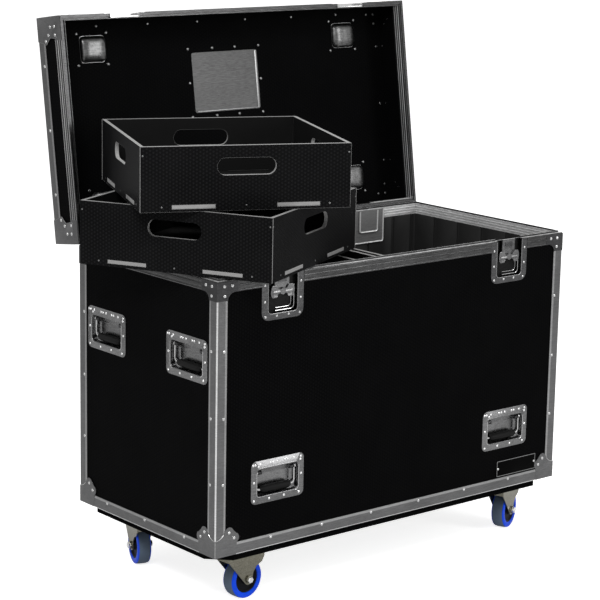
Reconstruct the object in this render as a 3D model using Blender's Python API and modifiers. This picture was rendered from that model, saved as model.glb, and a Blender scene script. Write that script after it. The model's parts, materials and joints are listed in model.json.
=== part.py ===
"""Utility trunk case on casters: lid open, two slotted trays stacked across the rim.

Case coordinates have their zero at the lower front left corner of the base, with X to the
right, Y to the back and Z up. The lid is modelled closed, then turned open about its hinge.
The whole case hangs on one empty that sets the floor's centre at the world's zero.
"""

import math

import bmesh
import bpy
from mathutils import Matrix, Vector

# Overall box of the case
CASE_WIDTH = 1.143
CASE_DEPTH = 0.568
BASE_HEIGHT = 0.669
LID_HEIGHT = 0.107
LID_OPEN_ANGLE = math.radians(98.3)
SEAM_GAP = 0.0006
GAP = 0.0003

# Boards and sheet metal
SKIN = 0.0012
BOARD = 0.010
LINING = 0.004
FLOOR_BOARD = 0.012
EDGE_LEG = 0.030
LID_EDGE_LEG = 0.029
PROUD = 0.0012
BOARD_OUT = SKIN + GAP
BOARD_IN = BOARD_OUT + BOARD
LINING_IN = BOARD_IN + LINING
FLOOR_TOP = BOARD_OUT + FLOOR_BOARD

# Rim extrusions: legs over the wall, a tongue on the base and a groove in the lid
RIM_LEG = 0.0285
LID_RIM_LEG = 0.031
RIM_FLANGE = 0.0015
RIM_INNER = BOARD_IN + GAP + SKIN
TONGUE_START = 0.008
TONGUE_WIDTH = 0.0015
TONGUE_HEIGHT = 0.0045
GROOVE_SIDE = 0.0007
GROOVE_SWING = 0.0017
GROOVE_ROOF = 0.001
RIM_BOTTOM = BASE_HEIGHT - RIM_LEG
LINING_TOP = RIM_BOTTOM - GAP
LID_BOTTOM = BASE_HEIGHT + SEAM_GAP
LID_TOP = BASE_HEIGHT + LID_HEIGHT
LID_RIM_TOP = LID_BOTTOM + LID_RIM_LEG
GROOVE_DEPTH = TONGUE_HEIGHT + GROOVE_ROOF
LID_WALL_BOTTOM = LID_BOTTOM + GROOVE_DEPTH + SKIN + GAP

# Corner braces and caps
BRACE_REACH = 0.060
BRACE_DROP = 0.0195
BRACE_FILLET = 0.020
BRACE_SEAM = 0.0025
CAP_REACH = 0.062
CAP_NOTCH = 0.043
CAP_LOBE = 0.013
CAP_LOBE_INNER = (0.041, 0.058)
CAP_LOBE_OUTER = (0.058, 0.042)
PLATE_BITE = 0.0006

# Divider boards and the slots in the lining that hold them
DIVIDER = 0.010
DIVIDER_DROP = 0.011
SLOT_PLAY = 0.0006
SLOT_PITCH = 0.094
END_SLOTS = 2
LONG_SLOTS = 5
SPARE_SLOT = 0.0235
LAST_SLOT = 0.031
DIVIDER_PLACES = {"divider_centre": 0.0, "divider_beside": -SPARE_SLOT, "divider_left": -SLOT_PITCH}

# Board under the base, and casters
CASTER_BOARD = 0.0177
BOARD_INSET_X = 0.012
BOARD_INSET_Y = 0.008
BOARD_CHAMFER = 0.050
CASTERS_IN = {"front": (0.116, 0.076), "back": (0.098, 0.109)}
CASTER_TURNS = {"front_left": 5.0, "front_right": 23.0, "back_left": 251.0, "back_right": 60.0}
WHEEL_RADIUS = 0.050
WHEEL_WIDTH = 0.036
WHEEL_SHOULDER = 0.004
HUB_RADIUS = 0.030
HUB_STEP = 0.003
AXLE_RADIUS = 0.006
AXLE_PLAY = 0.0004
BOLT_HEAD = (0.010, 0.005)
TRAIL = 0.029
CASTER_HEIGHT = 0.129
TOP_PLATE = (0.105, 0.085, 0.004)
TOP_PLATE_CORNER = 0.012
RACEWAY = (0.027, 0.006)
FORK_SHEET = 0.003
FORK_SIDE_PLAY = 0.0015
FORK_EYE = 0.014
FORK_LEADING = ((-0.034, 0.016), (-0.014, 0.040))
FORK_TRAILING = ((0.045, 0.055), (0.055, 0.041), (0.074, 0.032), (0.082, 0.019))

# Recessed spring handles
HANDLE_FLANGE = (0.162, 0.107)
HANDLE_MOUTH = (0.126, 0.067)
HANDLE_CORNERS = (0.014, 0.008, 0.008)
HANDLE_MOUTH_DROP = 0.002
HANDLE_DEPTH = 0.022
HANDLE_DRAFT = 0.004
FRONT_HANDLE_IN = 0.1875
FRONT_HANDLES = (FRONT_HANDLE_IN, CASE_WIDTH - FRONT_HANDLE_IN)
FRONT_HANDLE_HEIGHT = 0.165
END_HANDLE_MARGIN = 0.007
END_HANDLE_SPREAD = CASE_DEPTH / 2 - EDGE_LEG - END_HANDLE_MARGIN - HANDLE_FLANGE[0] / 2
END_HANDLE_HEIGHT = 0.4685
BAIL_DEPTH = 0.0105
BAIL_PIVOT_RISE = 0.021
BAIL_REACH = 0.043
BAIL_ARM = (0.004, 0.007)
GRIP_RADIUS = 0.0095
BAIL_PIN_RADIUS = 0.0028

# Butterfly latches on the base and their keepers on the lid
LATCH_IN = 0.195
LATCH_PLACES = {"left": LATCH_IN, "right": CASE_WIDTH - LATCH_IN}
LATCH_WIDTH = 0.127
LATCH_TALL = 0.111
LATCH_BOTTOM = BASE_HEIGHT - LATCH_TALL
LATCH_CORNER = 0.020
LATCH_STRIP = 0.0195
LATCH_FOOT = 0.016
LATCH_DEPTH_LOW = 0.013
LATCH_DEPTH_RIM = 0.010
WING_DROP = 0.044
WING_THICK = 0.003
WING_FACE = 0.0008
WING_REACH = 0.036
WING_LOBE = (0.021, 0.030)
WING_BAR = 0.012
SPINDLE_RADIUS = 0.005
HOOK_WIDTH = 0.044
HOOK_THICK = 0.0022
HOOK_TOP = 0.001
HOOK_TIP = (0.030, 0.003, 0.001)
HOOK_GUIDE = 0.0025
KEEPER_TALL = 0.062
KEEPER_MOUTH = 0.022
KEEPER_BAR_LOW = 0.004
KEEPER_BAR_TALL = 0.003

# Hinges: stepped dishes in the back wall, a leaf on the lid, one pin
HINGE_IN = 0.198
HINGE_PLACES = {"left": (HINGE_IN, -1), "right": (CASE_WIDTH - HINGE_IN, 1)}
HINGE_OUTER = (0.114, 0.093)
HINGE_INNER = (0.065, 0.062)
HINGE_FLANGE_MARGIN = 0.008
HINGE_OUTER_STEP = 0.0025
HINGE_INNER_STEP = 0.0065
KNUCKLE_RADIUS = 0.0032
PIN_RADIUS = 0.0015
PIN_PLAY = 0.0003
LEAF_WIDTH = 0.049
LID_KNUCKLE = 0.016
LEAF_NOTCH = 0.004
STAY_BOX = (0.046, 0.027, 0.046)
STAY_SHIFT = 0.050

# Wheel cups and the label dish in the lid's top
CUP_IN_X = 0.151
CUP_IN_Y = 0.084
CUP_MOUTH = (0.0746, 0.0656)
CUP_FLANGE = (0.105, 0.095)
CUP_FLOOR = (0.056, 0.048)
CUP_CORNERS = (0.008, 0.010, 0.022)
CUP_DEPTH = 0.024
LABEL_MOUTH = (0.2186, 0.1576)
LABEL_FLANGE = (0.257, 0.197)
LABEL_CORNERS = (0.006, 0.005, 0.005)
LABEL_FRONT = 0.188
LABEL_DEPTH = 0.0125

# Trays
TRAY_SIDE = 0.500
TRAY_HEIGHT = 0.152
TRAY_BOARD = 0.009
TRAY_FLOOR_RISE = 0.007
TRAY_FLOOR = 0.009
TRAY_SLOT = (0.140, 0.040)
TRAY_SLOT_DROP = 0.049
TRAY_TAB = 0.102
TRAY_TAB_SPREAD = 0.125
LOWER_TRAY_FORWARD = 0.053
UPPER_TRAY_FORWARD = 0.044
LOWER_TRAY = (0.187, CASE_DEPTH / 2 - LOWER_TRAY_FORWARD, -63.4)
UPPER_TRAY = (0.195, CASE_DEPTH / 2 - UPPER_TRAY_FORWARD, -24.4)

ROUND_STEPS = 24
WHEEL_STEPS = 32
CORNER_STEPS = 4
CUT = 0.010


def clear_scene():
    for old in list(bpy.data.objects):
        bpy.data.objects.remove(old, do_unlink=True)


def make_collection(name, hidden=False):
    collection = bpy.data.collections.new(name)
    bpy.context.scene.collection.children.link(collection)
    collection.hide_render = hidden
    return collection


def make_material(name, colour, roughness, metallic):
    material = bpy.data.materials.new(name)
    material.use_nodes = True
    shader = material.node_tree.nodes["Principled BSDF"]
    shader.inputs["Base Color"].default_value = (*colour, 1.0)
    shader.inputs["Roughness"].default_value = roughness
    shader.inputs["Metallic"].default_value = metallic
    return material


clear_scene()
PARTS = make_collection("utility_trunk_case")
CUTTERS = make_collection("cutters", hidden=True)

LAMINATE = make_material("black_laminate", (0.010, 0.010, 0.011), 0.45, 0.0)
LINED = make_material("dark_lining", (0.018, 0.018, 0.018), 0.70, 0.0)
PLY = make_material("bare_ply_edge", (0.30, 0.29, 0.27), 0.65, 0.0)
ALUMINIUM = make_material("brushed_aluminium", (0.42, 0.42, 0.42), 0.32, 1.0)
ZINC = make_material("bright_zinc", (0.50, 0.50, 0.50), 0.25, 1.0)
OLIVE_ZINC = make_material("olive_zinc", (0.30, 0.28, 0.23), 0.35, 1.0)
BLUE_TYRE = make_material("blue_tyre", (0.02, 0.10, 0.62), 0.40, 0.0)
BLACK_RUBBER = make_material("black_rubber", (0.015, 0.015, 0.015), 0.60, 0.0)


def mesh_object(name, bm):
    """Turn a bmesh into an object in the cutters' collection."""
    mesh = bpy.data.meshes.new(name)
    bm.to_mesh(mesh)
    bm.free()
    obj = bpy.data.objects.new(name, mesh)
    obj.display_type = "WIRE"
    obj.hide_render = True
    CUTTERS.objects.link(obj)
    return obj


def block(name, low, high):
    """A box between two corners."""
    low, high = Vector(low), Vector(high)
    size = high - low
    place = Matrix.Translation((low + high) / 2) @ Matrix.Diagonal((*size, 1.0))
    bm = bmesh.new()
    bmesh.ops.create_cube(bm, size=1.0, matrix=place)
    return mesh_object(name, bm)


def rod(name, radius, low, high, centre, axis="X", steps=ROUND_STEPS):
    """A cylinder from low to high along an axis, centred on the other two coordinates."""
    turns = {"X": Matrix.Rotation(math.pi / 2, 4, "Y"), "Y": Matrix.Rotation(math.pi / 2, 4, "X"),
             "Z": Matrix.Identity(4)}
    middle = (low + high) / 2
    a, b = centre
    places = {"X": (middle, a, b), "Y": (a, middle, b), "Z": (a, b, middle)}
    half_step = Matrix.Rotation(math.pi / steps, 4, "Z")
    bm = bmesh.new()
    bmesh.ops.create_cone(bm, cap_ends=True, segments=steps, radius1=radius, radius2=radius,
                          depth=high - low,
                          matrix=Matrix.Translation(places[axis]) @ turns[axis] @ half_step)
    return mesh_object(name, bm)


def prism(name, outline, low, high):
    """A flat outline in X and Y, drawn out from low to high along Z."""
    bm = bmesh.new()
    floor = bm.faces.new([bm.verts.new((x, y, low)) for x, y in outline])
    drawn = bmesh.ops.extrude_face_region(bm, geom=[floor])
    moved = [item for item in drawn["geom"] if isinstance(item, bmesh.types.BMVert)]
    bmesh.ops.translate(bm, verts=moved, vec=(0.0, 0.0, high - low))
    bmesh.ops.recalc_face_normals(bm, faces=bm.faces)
    return mesh_object(name, bm)


def loft(name, rings):
    """A closed body through rings of equally many points, with a face on both end rings."""
    bm = bmesh.new()
    loops = [[bm.verts.new(point) for point in ring] for ring in rings]
    count = len(loops[0])
    for lower, upper in zip(loops, loops[1:]):
        for i in range(count):
            j = (i + 1) % count
            bm.faces.new((lower[i], lower[j], upper[j], upper[i]))
    bm.faces.new(loops[0])
    bm.faces.new(loops[-1])
    bmesh.ops.recalc_face_normals(bm, faces=bm.faces)
    return mesh_object(name, bm)


def mitred_frame(name, profile, low, high):
    """A profile of (inset, height) points carried round a rectangle, with mitred corners."""
    bm = bmesh.new()
    x0, y0 = low
    x1, y1 = high
    loops = []
    for inset, height in profile:
        corners = ((x0 + inset, y0 + inset), (x1 - inset, y0 + inset),
                   (x1 - inset, y1 - inset), (x0 + inset, y1 - inset))
        loops.append([bm.verts.new((x, y, height)) for x, y in corners])
    for i, loop in enumerate(loops):
        after = loops[(i + 1) % len(loops)]
        for j in range(4):
            k = (j + 1) % 4
            bm.faces.new((loop[j], loop[k], after[k], after[j]))
    bmesh.ops.recalc_face_normals(bm, faces=bm.faces)
    return mesh_object(name, bm)


def turned(name, profile, steps=WHEEL_STEPS):
    """A closed profile of (radius, height) points, turned about Z by a Screw modifier."""
    bm = bmesh.new()
    points = [bm.verts.new((radius, 0.0, height)) for radius, height in profile]
    for i, point in enumerate(points):
        bm.edges.new((point, points[(i + 1) % len(points)]))
    obj = mesh_object(name, bm)
    screw = obj.modifiers.new("turn", "SCREW")
    screw.axis = "Z"
    screw.steps = steps
    screw.render_steps = steps
    screw.use_merge_vertices = True
    screw.merge_threshold = 0.00001
    bake(obj)
    clean = bmesh.new()
    clean.from_mesh(obj.data)
    bmesh.ops.recalc_face_normals(clean, faces=clean.faces)
    clean.to_mesh(obj.data)
    clean.free()
    return obj


def rounded(width, height, radius, centre=(0.0, 0.0), steps=CORNER_STEPS):
    """The points of a rectangle with round corners, anticlockwise."""
    points = []
    cx, cy = centre
    for quarter, (sx, sy) in enumerate(((1, 1), (-1, 1), (-1, -1), (1, -1))):
        for i in range(steps + 1):
            angle = math.pi / 2 * (quarter + i / steps)
            points.append((cx + sx * (width / 2 - radius) + radius * math.cos(angle),
                           cy + sy * (height / 2 - radius) + radius * math.sin(angle)))
    return points


def arc(centre, radius, start, end, steps=CORNER_STEPS):
    """Points on an arc between two angles in degrees, both ends included."""
    turns = [math.radians(start + (end - start) * i / steps) for i in range(steps + 1)]
    return [(centre[0] + radius * math.cos(t), centre[1] + radius * math.sin(t)) for t in turns]


def at_height(outline, height):
    return [(x, y, height) for x, y in outline]


def bake(obj):
    """Put the evaluated shape into the object's own mesh and drop its modifiers."""
    bpy.context.view_layer.update()
    evaluated = obj.evaluated_get(bpy.context.evaluated_depsgraph_get())
    old = obj.data
    obj.data = bpy.data.meshes.new_from_object(evaluated)
    obj.modifiers.clear()
    bpy.data.meshes.remove(old)


def boolean(obj, tools, operation):
    """Cut or join all the tools in one exact step, then remove them."""
    group = bpy.data.collections.new("tools")
    CUTTERS.children.link(group)
    for tool in tools:
        group.objects.link(tool)
    modifier = obj.modifiers.new(operation, "BOOLEAN")
    modifier.operation = operation
    modifier.solver = "EXACT"
    modifier.operand_type = "COLLECTION"
    modifier.collection = group
    bake(obj)
    for tool in tools:
        bpy.data.objects.remove(tool, do_unlink=True)
    bpy.data.collections.remove(group)
    return obj


def cut(obj, *tools):
    return boolean(obj, tools, "DIFFERENCE")


def join(obj, *tools):
    return boolean(obj, tools, "UNION")


def moved(obj, matrix):
    """Move the mesh itself; a mirrored mesh has its faces turned back out."""
    obj.data.transform(matrix)
    if matrix.determinant() < 0:
        obj.data.flip_normals()
    return obj


def face_frame(origin, right, up=(0.0, 0.0, 1.0)):
    """Matrix of a frame on a wall: X along the wall, Y up it and Z out of it."""
    right, up = Vector(right), Vector(up)
    turn = Matrix((right, up, right.cross(up))).transposed().to_4x4()
    return Matrix.Translation(origin) @ turn


def front_face(x, z):
    return face_frame((x, 0.0, z), (1, 0, 0))


def left_face(y, z):
    return face_frame((0.0, y, z), (0, -1, 0))


def right_face(y, z):
    return face_frame((CASE_WIDTH, y, z), (0, 1, 0))


def back_face(x, z):
    return face_frame((x, CASE_DEPTH, z), (-1, 0, 0))


def lid_face(x, y):
    return face_frame((x, y, LID_TOP), (1, 0, 0), (0, 1, 0))


def pivot(name, matrix, parent):
    """An empty on a joint's axis, placed in its parent's frame."""
    empty = bpy.data.objects.new(name, None)
    empty.empty_display_size = 0.05
    PARTS.objects.link(empty)
    empty.parent = parent
    empty.matrix_local = matrix
    return empty


def attach(obj, material, parent, built_at=(0.0, 0.0, 0.0), smooth=False):
    """Make a finished part of it: its material, its collection and the pivot it hangs on."""
    obj.data.transform(Matrix.Translation(-Vector(built_at)))
    obj.data.materials.clear()
    obj.data.materials.append(material)
    if smooth:
        obj.data.shade_smooth()
        obj.data.set_sharp_from_angle(angle=math.radians(35))
    CUTTERS.objects.unlink(obj)
    PARTS.objects.link(obj)
    obj.hide_render = False
    obj.display_type = "TEXTURED"
    obj.parent = parent
    return obj


def corner_matrices(top=0.0):
    """The four upright corners of the case, as mirrors of the front left one."""
    for right in (False, True):
        for back in (False, True):
            yield (Matrix.Translation((CASE_WIDTH if right else 0.0, CASE_DEPTH if back else 0.0, top))
                   @ Matrix.Diagonal((-1 if right else 1, -1 if back else 1, 1, 1)))


def corner_plates(name, outline, low, high):
    """One outline of (distance from the corner, height), bent round the front left corner."""
    front = prism(name, outline, low, high)
    moved(front, Matrix(((1, 0, 0, 0), (0, 0, -1, 0), (0, 1, 0, 0), (0, 0, 0, 1))))
    side = prism(name + "_side", outline, low, high)
    moved(side, Matrix(((0, 0, -1, 0), (1, 0, 0, 0), (0, 1, 0, 0), (0, 0, 0, 1))))
    return front, side


def mirrored_copies(make):
    """The pieces that make() returns, once at each of the four corners."""
    pieces = []
    for matrix in corner_matrices():
        pieces += [moved(piece, matrix) for piece in make()]
    return pieces


def long_slot_shifts():
    """Where slots stand along the front and back walls, from the case's middle."""
    shifts = [k * SLOT_PITCH for k in range(-LONG_SLOTS, LONG_SLOTS + 1)]
    last = CASE_WIDTH / 2 - LAST_SLOT
    return shifts + [-SPARE_SLOT, -last, last]


def end_slot_shifts():
    return [k * SLOT_PITCH for k in range(-END_SLOTS, END_SLOTS + 1)]


def wall(name, length):
    """A wall board in face coordinates, lined below the rim: X along it, Y up, Z out."""
    top = BASE_HEIGHT - RIM_FLANGE - GAP
    board = block(name, (-length / 2, BOARD_OUT, -BOARD_IN), (length / 2, top, -BOARD_OUT))
    lining = block(name + "_lining", (-length / 2, BOARD_OUT, -LINING_IN),
                   (length / 2, LINING_TOP, -BOARD_IN + PLATE_BITE))
    return join(board, lining)


def slot_cutter(name, place):
    """Cuts a divider's slot through the lining, in face coordinates."""
    half = DIVIDER / 2 + SLOT_PLAY
    return block(name, (place - half, FLOOR_TOP, -LINING_IN - CUT),
                 (place + half, BASE_HEIGHT + CUT, -BOARD_IN))


def handle_hole():
    """Cutter for a handle dish's hole, in face coordinates."""
    grow = 2 * (SKIN + GAP)
    outline = rounded(HANDLE_MOUTH[0] + grow, HANDLE_MOUTH[1] + grow, HANDLE_CORNERS[1],
                      (0.0, -HANDLE_MOUTH_DROP))
    return prism("handle_hole", outline, -LINING_IN - CUT, CUT)


def latch_hole():
    """Cutter for a latch dish's hole, in face coordinates with Y = 0 at the base's foot."""
    half = LATCH_WIDTH / 2 - LATCH_STRIP + SKIN + GAP
    return block("latch_hole", (-half, LATCH_BOTTOM + LATCH_FOOT - SKIN - GAP, -LINING_IN - CUT),
                 (half, BASE_HEIGHT + CUT, CUT))


def hinge_hole():
    """Cutter for a hinge dish's hole in the back wall, in face coordinates."""
    half = HINGE_OUTER[0] / 2 + GAP
    return block("hinge_hole", (-half, BASE_HEIGHT - HINGE_OUTER[1] - GAP, -LINING_IN - CUT),
                 (half, RIM_BOTTOM - GAP - SKIN, CUT))


def hinge_lining_hole():
    """Cutter that takes the lining away above the hole, where the dish goes over the rim."""
    half = HINGE_OUTER[0] / 2 + GAP
    return block("hinge_lining_hole", (-half, RIM_BOTTOM - CUT, -LINING_IN - CUT),
                 (half, BASE_HEIGHT + CUT, -BOARD_IN))


def knuckle_hole():
    """Cutter that frees the hinge's knuckles from the back wall's top edge."""
    half = LEAF_WIDTH / 2 + GAP
    return block("knuckle_hole", (-half, BASE_HEIGHT - LEAF_NOTCH, -LEAF_NOTCH),
                 (half, BASE_HEIGHT + CUT, CUT))


def slotted_wall(name, length, frame, shifts, holes):
    """A wall in its place, with slots at shifts from its middle and the holes cut out."""
    body = moved(wall(name, length), frame)
    slots = [moved(slot_cutter("slot", shift), frame) for shift in shifts]
    return cut(body, *slots, *holes)


def base_walls(base):
    """Front, back and end walls and the floor, with their slots and holes."""
    front_holes = [moved(handle_hole(), front_face(x, FRONT_HANDLE_HEIGHT)) for x in FRONT_HANDLES]
    front_holes += [moved(latch_hole(), front_face(x, 0.0)) for x in LATCH_PLACES.values()]
    middle, length = CASE_WIDTH / 2, CASE_WIDTH - 2 * (LINING_IN + GAP)
    shifts = long_slot_shifts()
    front = slotted_wall("front_panel", length, front_face(middle, 0.0), shifts, front_holes)
    attach(front, LAMINATE, base)

    back_holes = [moved(hole(), back_face(x, 0.0)) for x, _ in HINGE_PLACES.values()
                  for hole in (hinge_hole, hinge_lining_hole, knuckle_hole)]
    mirrored = [-shift for shift in shifts]
    back = slotted_wall("back_panel", length, back_face(middle, 0.0), mirrored, back_holes)
    attach(back, LAMINATE, base)

    for name, face in (("left_panel", left_face), ("right_panel", right_face)):
        holes = [moved(handle_hole(), face(CASE_DEPTH / 2 + side * END_HANDLE_SPREAD, END_HANDLE_HEIGHT))
                 for side in (-1, 1)]
        end = slotted_wall(name, CASE_DEPTH - 2 * BOARD_OUT, face(CASE_DEPTH / 2, 0.0),
                           end_slot_shifts(), holes)
        attach(end, LAMINATE, base)

    inset = LINING_IN + GAP
    floor = block("floor_panel", (inset, inset, BOARD_OUT),
                  (CASE_WIDTH - inset, CASE_DEPTH - inset, FLOOR_TOP))
    attach(floor, LINED, base)


def base_rim(base):
    """Rim extrusion with its tongue, notched for the latches and the hinge knuckles."""
    top = BASE_HEIGHT
    tongue_end = TONGUE_START + TONGUE_WIDTH
    profile = [(0.0, RIM_BOTTOM), (SKIN, RIM_BOTTOM), (SKIN, top - RIM_FLANGE),
               (RIM_INNER - SKIN, top - RIM_FLANGE), (RIM_INNER - SKIN, RIM_BOTTOM),
               (RIM_INNER, RIM_BOTTOM), (RIM_INNER, top), (tongue_end, top),
               (tongue_end, top + TONGUE_HEIGHT), (TONGUE_START, top + TONGUE_HEIGHT),
               (TONGUE_START, top), (0.0, top)]
    rim = mitred_frame("base_rim", profile, (0.0, 0.0), (CASE_WIDTH, CASE_DEPTH))
    notches = []
    for x in LATCH_PLACES.values():
        half = LATCH_WIDTH / 2 + GAP
        notches.append(block("latch_strip_notch", (x - half, -CUT, RIM_BOTTOM - CUT),
                             (x + half, SKIN + GAP, top + CUT)))
        half = LATCH_WIDTH / 2 - LATCH_STRIP + SKIN + GAP
        notches.append(block("latch_notch", (x - half, -CUT, RIM_BOTTOM - CUT),
                             (x + half, LATCH_DEPTH_RIM + SKIN + GAP, top + CUT)))
    for x, _ in HINGE_PLACES.values():
        half = LEAF_WIDTH / 2 + GAP
        notches.append(block("hinge_notch", (x - half, CASE_DEPTH - LEAF_NOTCH, RIM_BOTTOM - CUT),
                             (x + half, CASE_DEPTH + CUT, top + CUT)))
    attach(cut(rim, *notches), ALUMINIUM, base)


def brace_outline(bottom, top, fillet_up):
    """Plate along a rim with a leg down the post, and a round inner corner."""
    reach, leg, r = BRACE_REACH, EDGE_LEG, BRACE_FILLET
    outline = [(-PROUD, bottom), (leg, bottom)]
    outline += arc((leg + r, fillet_up - r), r, 180, 90)
    return outline + [(reach, fillet_up), (reach, top), (-PROUD, top)]


def cap_outline():
    """Bottom cap: two round lobes for its rivets and a notch round the post."""
    outline = [(-PROUD, 0.0), (CAP_REACH, 0.0)]
    outline += arc(CAP_LOBE_OUTER, CAP_LOBE, -60, 75)
    outline += arc(CAP_LOBE_INNER, CAP_LOBE, 20, 150)
    outline += arc((0.0, CAP_NOTCH + EDGE_LEG), EDGE_LEG, -35, -90)
    return outline + [(-PROUD, CAP_NOTCH)]


def base_edges(base):
    """Bottom edge angles, upright corner angles, upper braces and bottom caps, as one frame."""
    w, d, top = CASE_WIDTH, CASE_DEPTH, LINING_TOP
    frame = block("base_edge_frame", (0, 0, 0), (w, d, top))
    inside = block("inside", (SKIN, SKIN, SKIN), (w - SKIN, d - SKIN, top + CUT))
    leg = EDGE_LEG
    long_window = block("long_window", (leg, -CUT, leg), (w - leg, d + CUT, top + CUT))
    end_window = block("end_window", (-CUT, leg, leg), (w + CUT, d - leg, top + CUT))
    floor_window = block("floor_window", (leg, leg, -CUT), (w - leg, d - leg, leg))
    cut(frame, inside, long_window, end_window, floor_window)

    brace_low = RIM_BOTTOM - BRACE_DROP
    upper = brace_outline(brace_low, BASE_HEIGHT - BRACE_SEAM, RIM_BOTTOM)
    pad = [(0.0, brace_low), (EDGE_LEG - GAP, brace_low), (EDGE_LEG - GAP, top - GAP), (0.0, top - GAP)]

    def corner():
        return (*corner_plates("upper_brace", upper, GAP, PROUD),
                *corner_plates("brace_pad", pad, -PLATE_BITE, PLATE_BITE),
                *corner_plates("bottom_cap", cap_outline(), -PLATE_BITE, PROUD))

    join(frame, *mirrored_copies(corner))
    attach(frame, ALUMINIUM, base)


def caster_board(base):
    """Black board under the base, its corners cut off."""
    x0, x1 = BOARD_INSET_X, CASE_WIDTH - BOARD_INSET_X
    y0, y1 = BOARD_INSET_Y, CASE_DEPTH - BOARD_INSET_Y
    c = BOARD_CHAMFER
    outline = [(x0 + c, y0), (x1 - c, y0), (x1, y0 + c), (x1, y1 - c),
               (x1 - c, y1), (x0 + c, y1), (x0, y1 - c), (x0, y0 + c)]
    attach(prism("caster_board", outline, -GAP - CASTER_BOARD, -GAP), LINED, base)


def dish(name, sizes, corners, depth, centre=(0.0, 0.0)):
    """A pressed dish of one sheet: a flat flange and sides that go in to a floor.

    Sizes and corner radii are those of the flange, the mouth and the floor.
    """
    flange, mouth, floor = sizes
    flange_corner, mouth_corner, floor_corner = corners

    def ring(size, radius, height, middle, grow=0.0):
        outline = rounded(size[0] + 2 * grow, size[1] + 2 * grow, radius + grow, middle)
        return at_height(outline, height)

    return loft(name, [ring(floor, floor_corner, -depth, centre), ring(mouth, mouth_corner, 0.0, centre),
                       ring(flange, flange_corner, 0.0, (0.0, 0.0)),
                       ring(flange, flange_corner, -SKIN, (0.0, 0.0)),
                       ring(mouth, mouth_corner, -SKIN, centre, SKIN),
                       ring(floor, floor_corner, -depth - SKIN, centre, SKIN)])


def handle_dish(name, frame, base):
    floor = (HANDLE_MOUTH[0] - GAP, HANDLE_MOUTH[1] - HANDLE_DRAFT)
    body = dish(name, (HANDLE_FLANGE, HANDLE_MOUTH, floor), HANDLE_CORNERS, HANDLE_DEPTH,
                (0.0, -HANDLE_MOUTH_DROP))
    attach(moved(body, frame), ZINC, base, smooth=True)


def handle_bail(name, frame, base):
    """Two arms on pins and a round grip, hanging from the pivot in its own frame."""
    axis = pivot(name + "_pivot", frame @ Matrix.Translation((0.0, BAIL_PIVOT_RISE, -BAIL_DEPTH)), base)
    pin_end = HANDLE_MOUTH[0] / 2 - 2 * GAP
    arm_out = pin_end - GAP
    arm_in = arm_out - BAIL_ARM[0]
    bail = rod(name, GRIP_RADIUS, -arm_in - PLATE_BITE, arm_in + PLATE_BITE, (-BAIL_REACH, 0.0), steps=20)
    for side in (-1, 1):
        x0, x1 = sorted((side * arm_in, side * arm_out))
        half = BAIL_ARM[1] / 2
        arm = block("arm", (x0, -BAIL_REACH - half, -half), (x1, half, half))
        x0, x1 = sorted((side * (arm_in - PLATE_BITE), side * pin_end))
        join(bail, arm, rod("pin", BAIL_PIN_RADIUS, x0, x1, (0.0, 0.0), steps=12))
    attach(bail, BLACK_RUBBER, axis, smooth=True)


def handles(base):
    """Six recessed handles: two low on the front, two on each end."""
    places = {"front_left": front_face(FRONT_HANDLES[0], FRONT_HANDLE_HEIGHT),
              "front_right": front_face(FRONT_HANDLES[1], FRONT_HANDLE_HEIGHT)}
    for end, face in (("left_end", left_face), ("right_end", right_face)):
        for row, side in (("front", -1), ("back", 1)):
            y = CASE_DEPTH / 2 + side * END_HANDLE_SPREAD
            places[f"{end}_{row}"] = face(y, END_HANDLE_HEIGHT)
    for place, frame in places.items():
        handle_dish("handle_dish_" + place, frame, base)
        handle_bail("handle_bail_" + place, frame, base)


def latch_layers():
    """Depths of the wing's back, the hook's front and the hook's back under the wall's plane."""
    wing_back = WING_FACE + WING_THICK
    hook_front = wing_back + GAP
    return wing_back, hook_front, hook_front + HOOK_THICK


def latch_dish(side, x, base):
    """Dish open at the rim, with a spindle for the wing and guides for the hook."""
    half, r, low, top = LATCH_WIDTH / 2, LATCH_CORNER, LATCH_BOTTOM, BASE_HEIGHT
    outline = [(half, top), (-half, top)]
    outline += arc((-half + r, low + r), r, 180, 270) + arc((half - r, low + r), r, 270, 360)
    body = prism("latch_dish_" + side, outline, -SKIN, 0.0)
    mouth, foot = half - LATCH_STRIP, low + LATCH_FOOT
    low_top = RIM_BOTTOM - GAP - SKIN
    shell = block("shell", (-mouth - SKIN, foot - SKIN, -LATCH_DEPTH_LOW - SKIN),
                  (mouth + SKIN, low_top, -SKIN / 2))
    shell_rim = block("shell_rim", (-mouth - SKIN, low_top - SKIN, -LATCH_DEPTH_RIM - SKIN),
                      (mouth + SKIN, top, -SKIN / 2))
    join(body, shell, shell_rim)
    cut(body, block("hollow", (-mouth, foot, -LATCH_DEPTH_LOW), (mouth, low_top - SKIN, CUT)),
        block("hollow_rim", (-mouth, low_top - 2 * SKIN, -LATCH_DEPTH_RIM), (mouth, top + CUT, CUT)))
    wing_back, hook_front, _ = latch_layers()
    spindle_z = top - WING_DROP
    spindle = rod("spindle", SPINDLE_RADIUS, -LATCH_DEPTH_LOW - SKIN / 2, -wing_back - GAP,
                  (0.0, spindle_z), "Z", 16)
    guides = []
    for hand in (-1, 1):
        x0, x1 = sorted((hand * (HOOK_WIDTH / 2 + GAP), hand * (HOOK_WIDTH / 2 + GAP + HOOK_GUIDE)))
        guides.append(block("guide", (x0, low_top, -LATCH_DEPTH_RIM - SKIN / 2),
                            (x1, top - SKIN, -hook_front)))
    join(body, spindle, *guides)
    attach(moved(body, front_face(x, 0.0)), ZINC, base)


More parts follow.
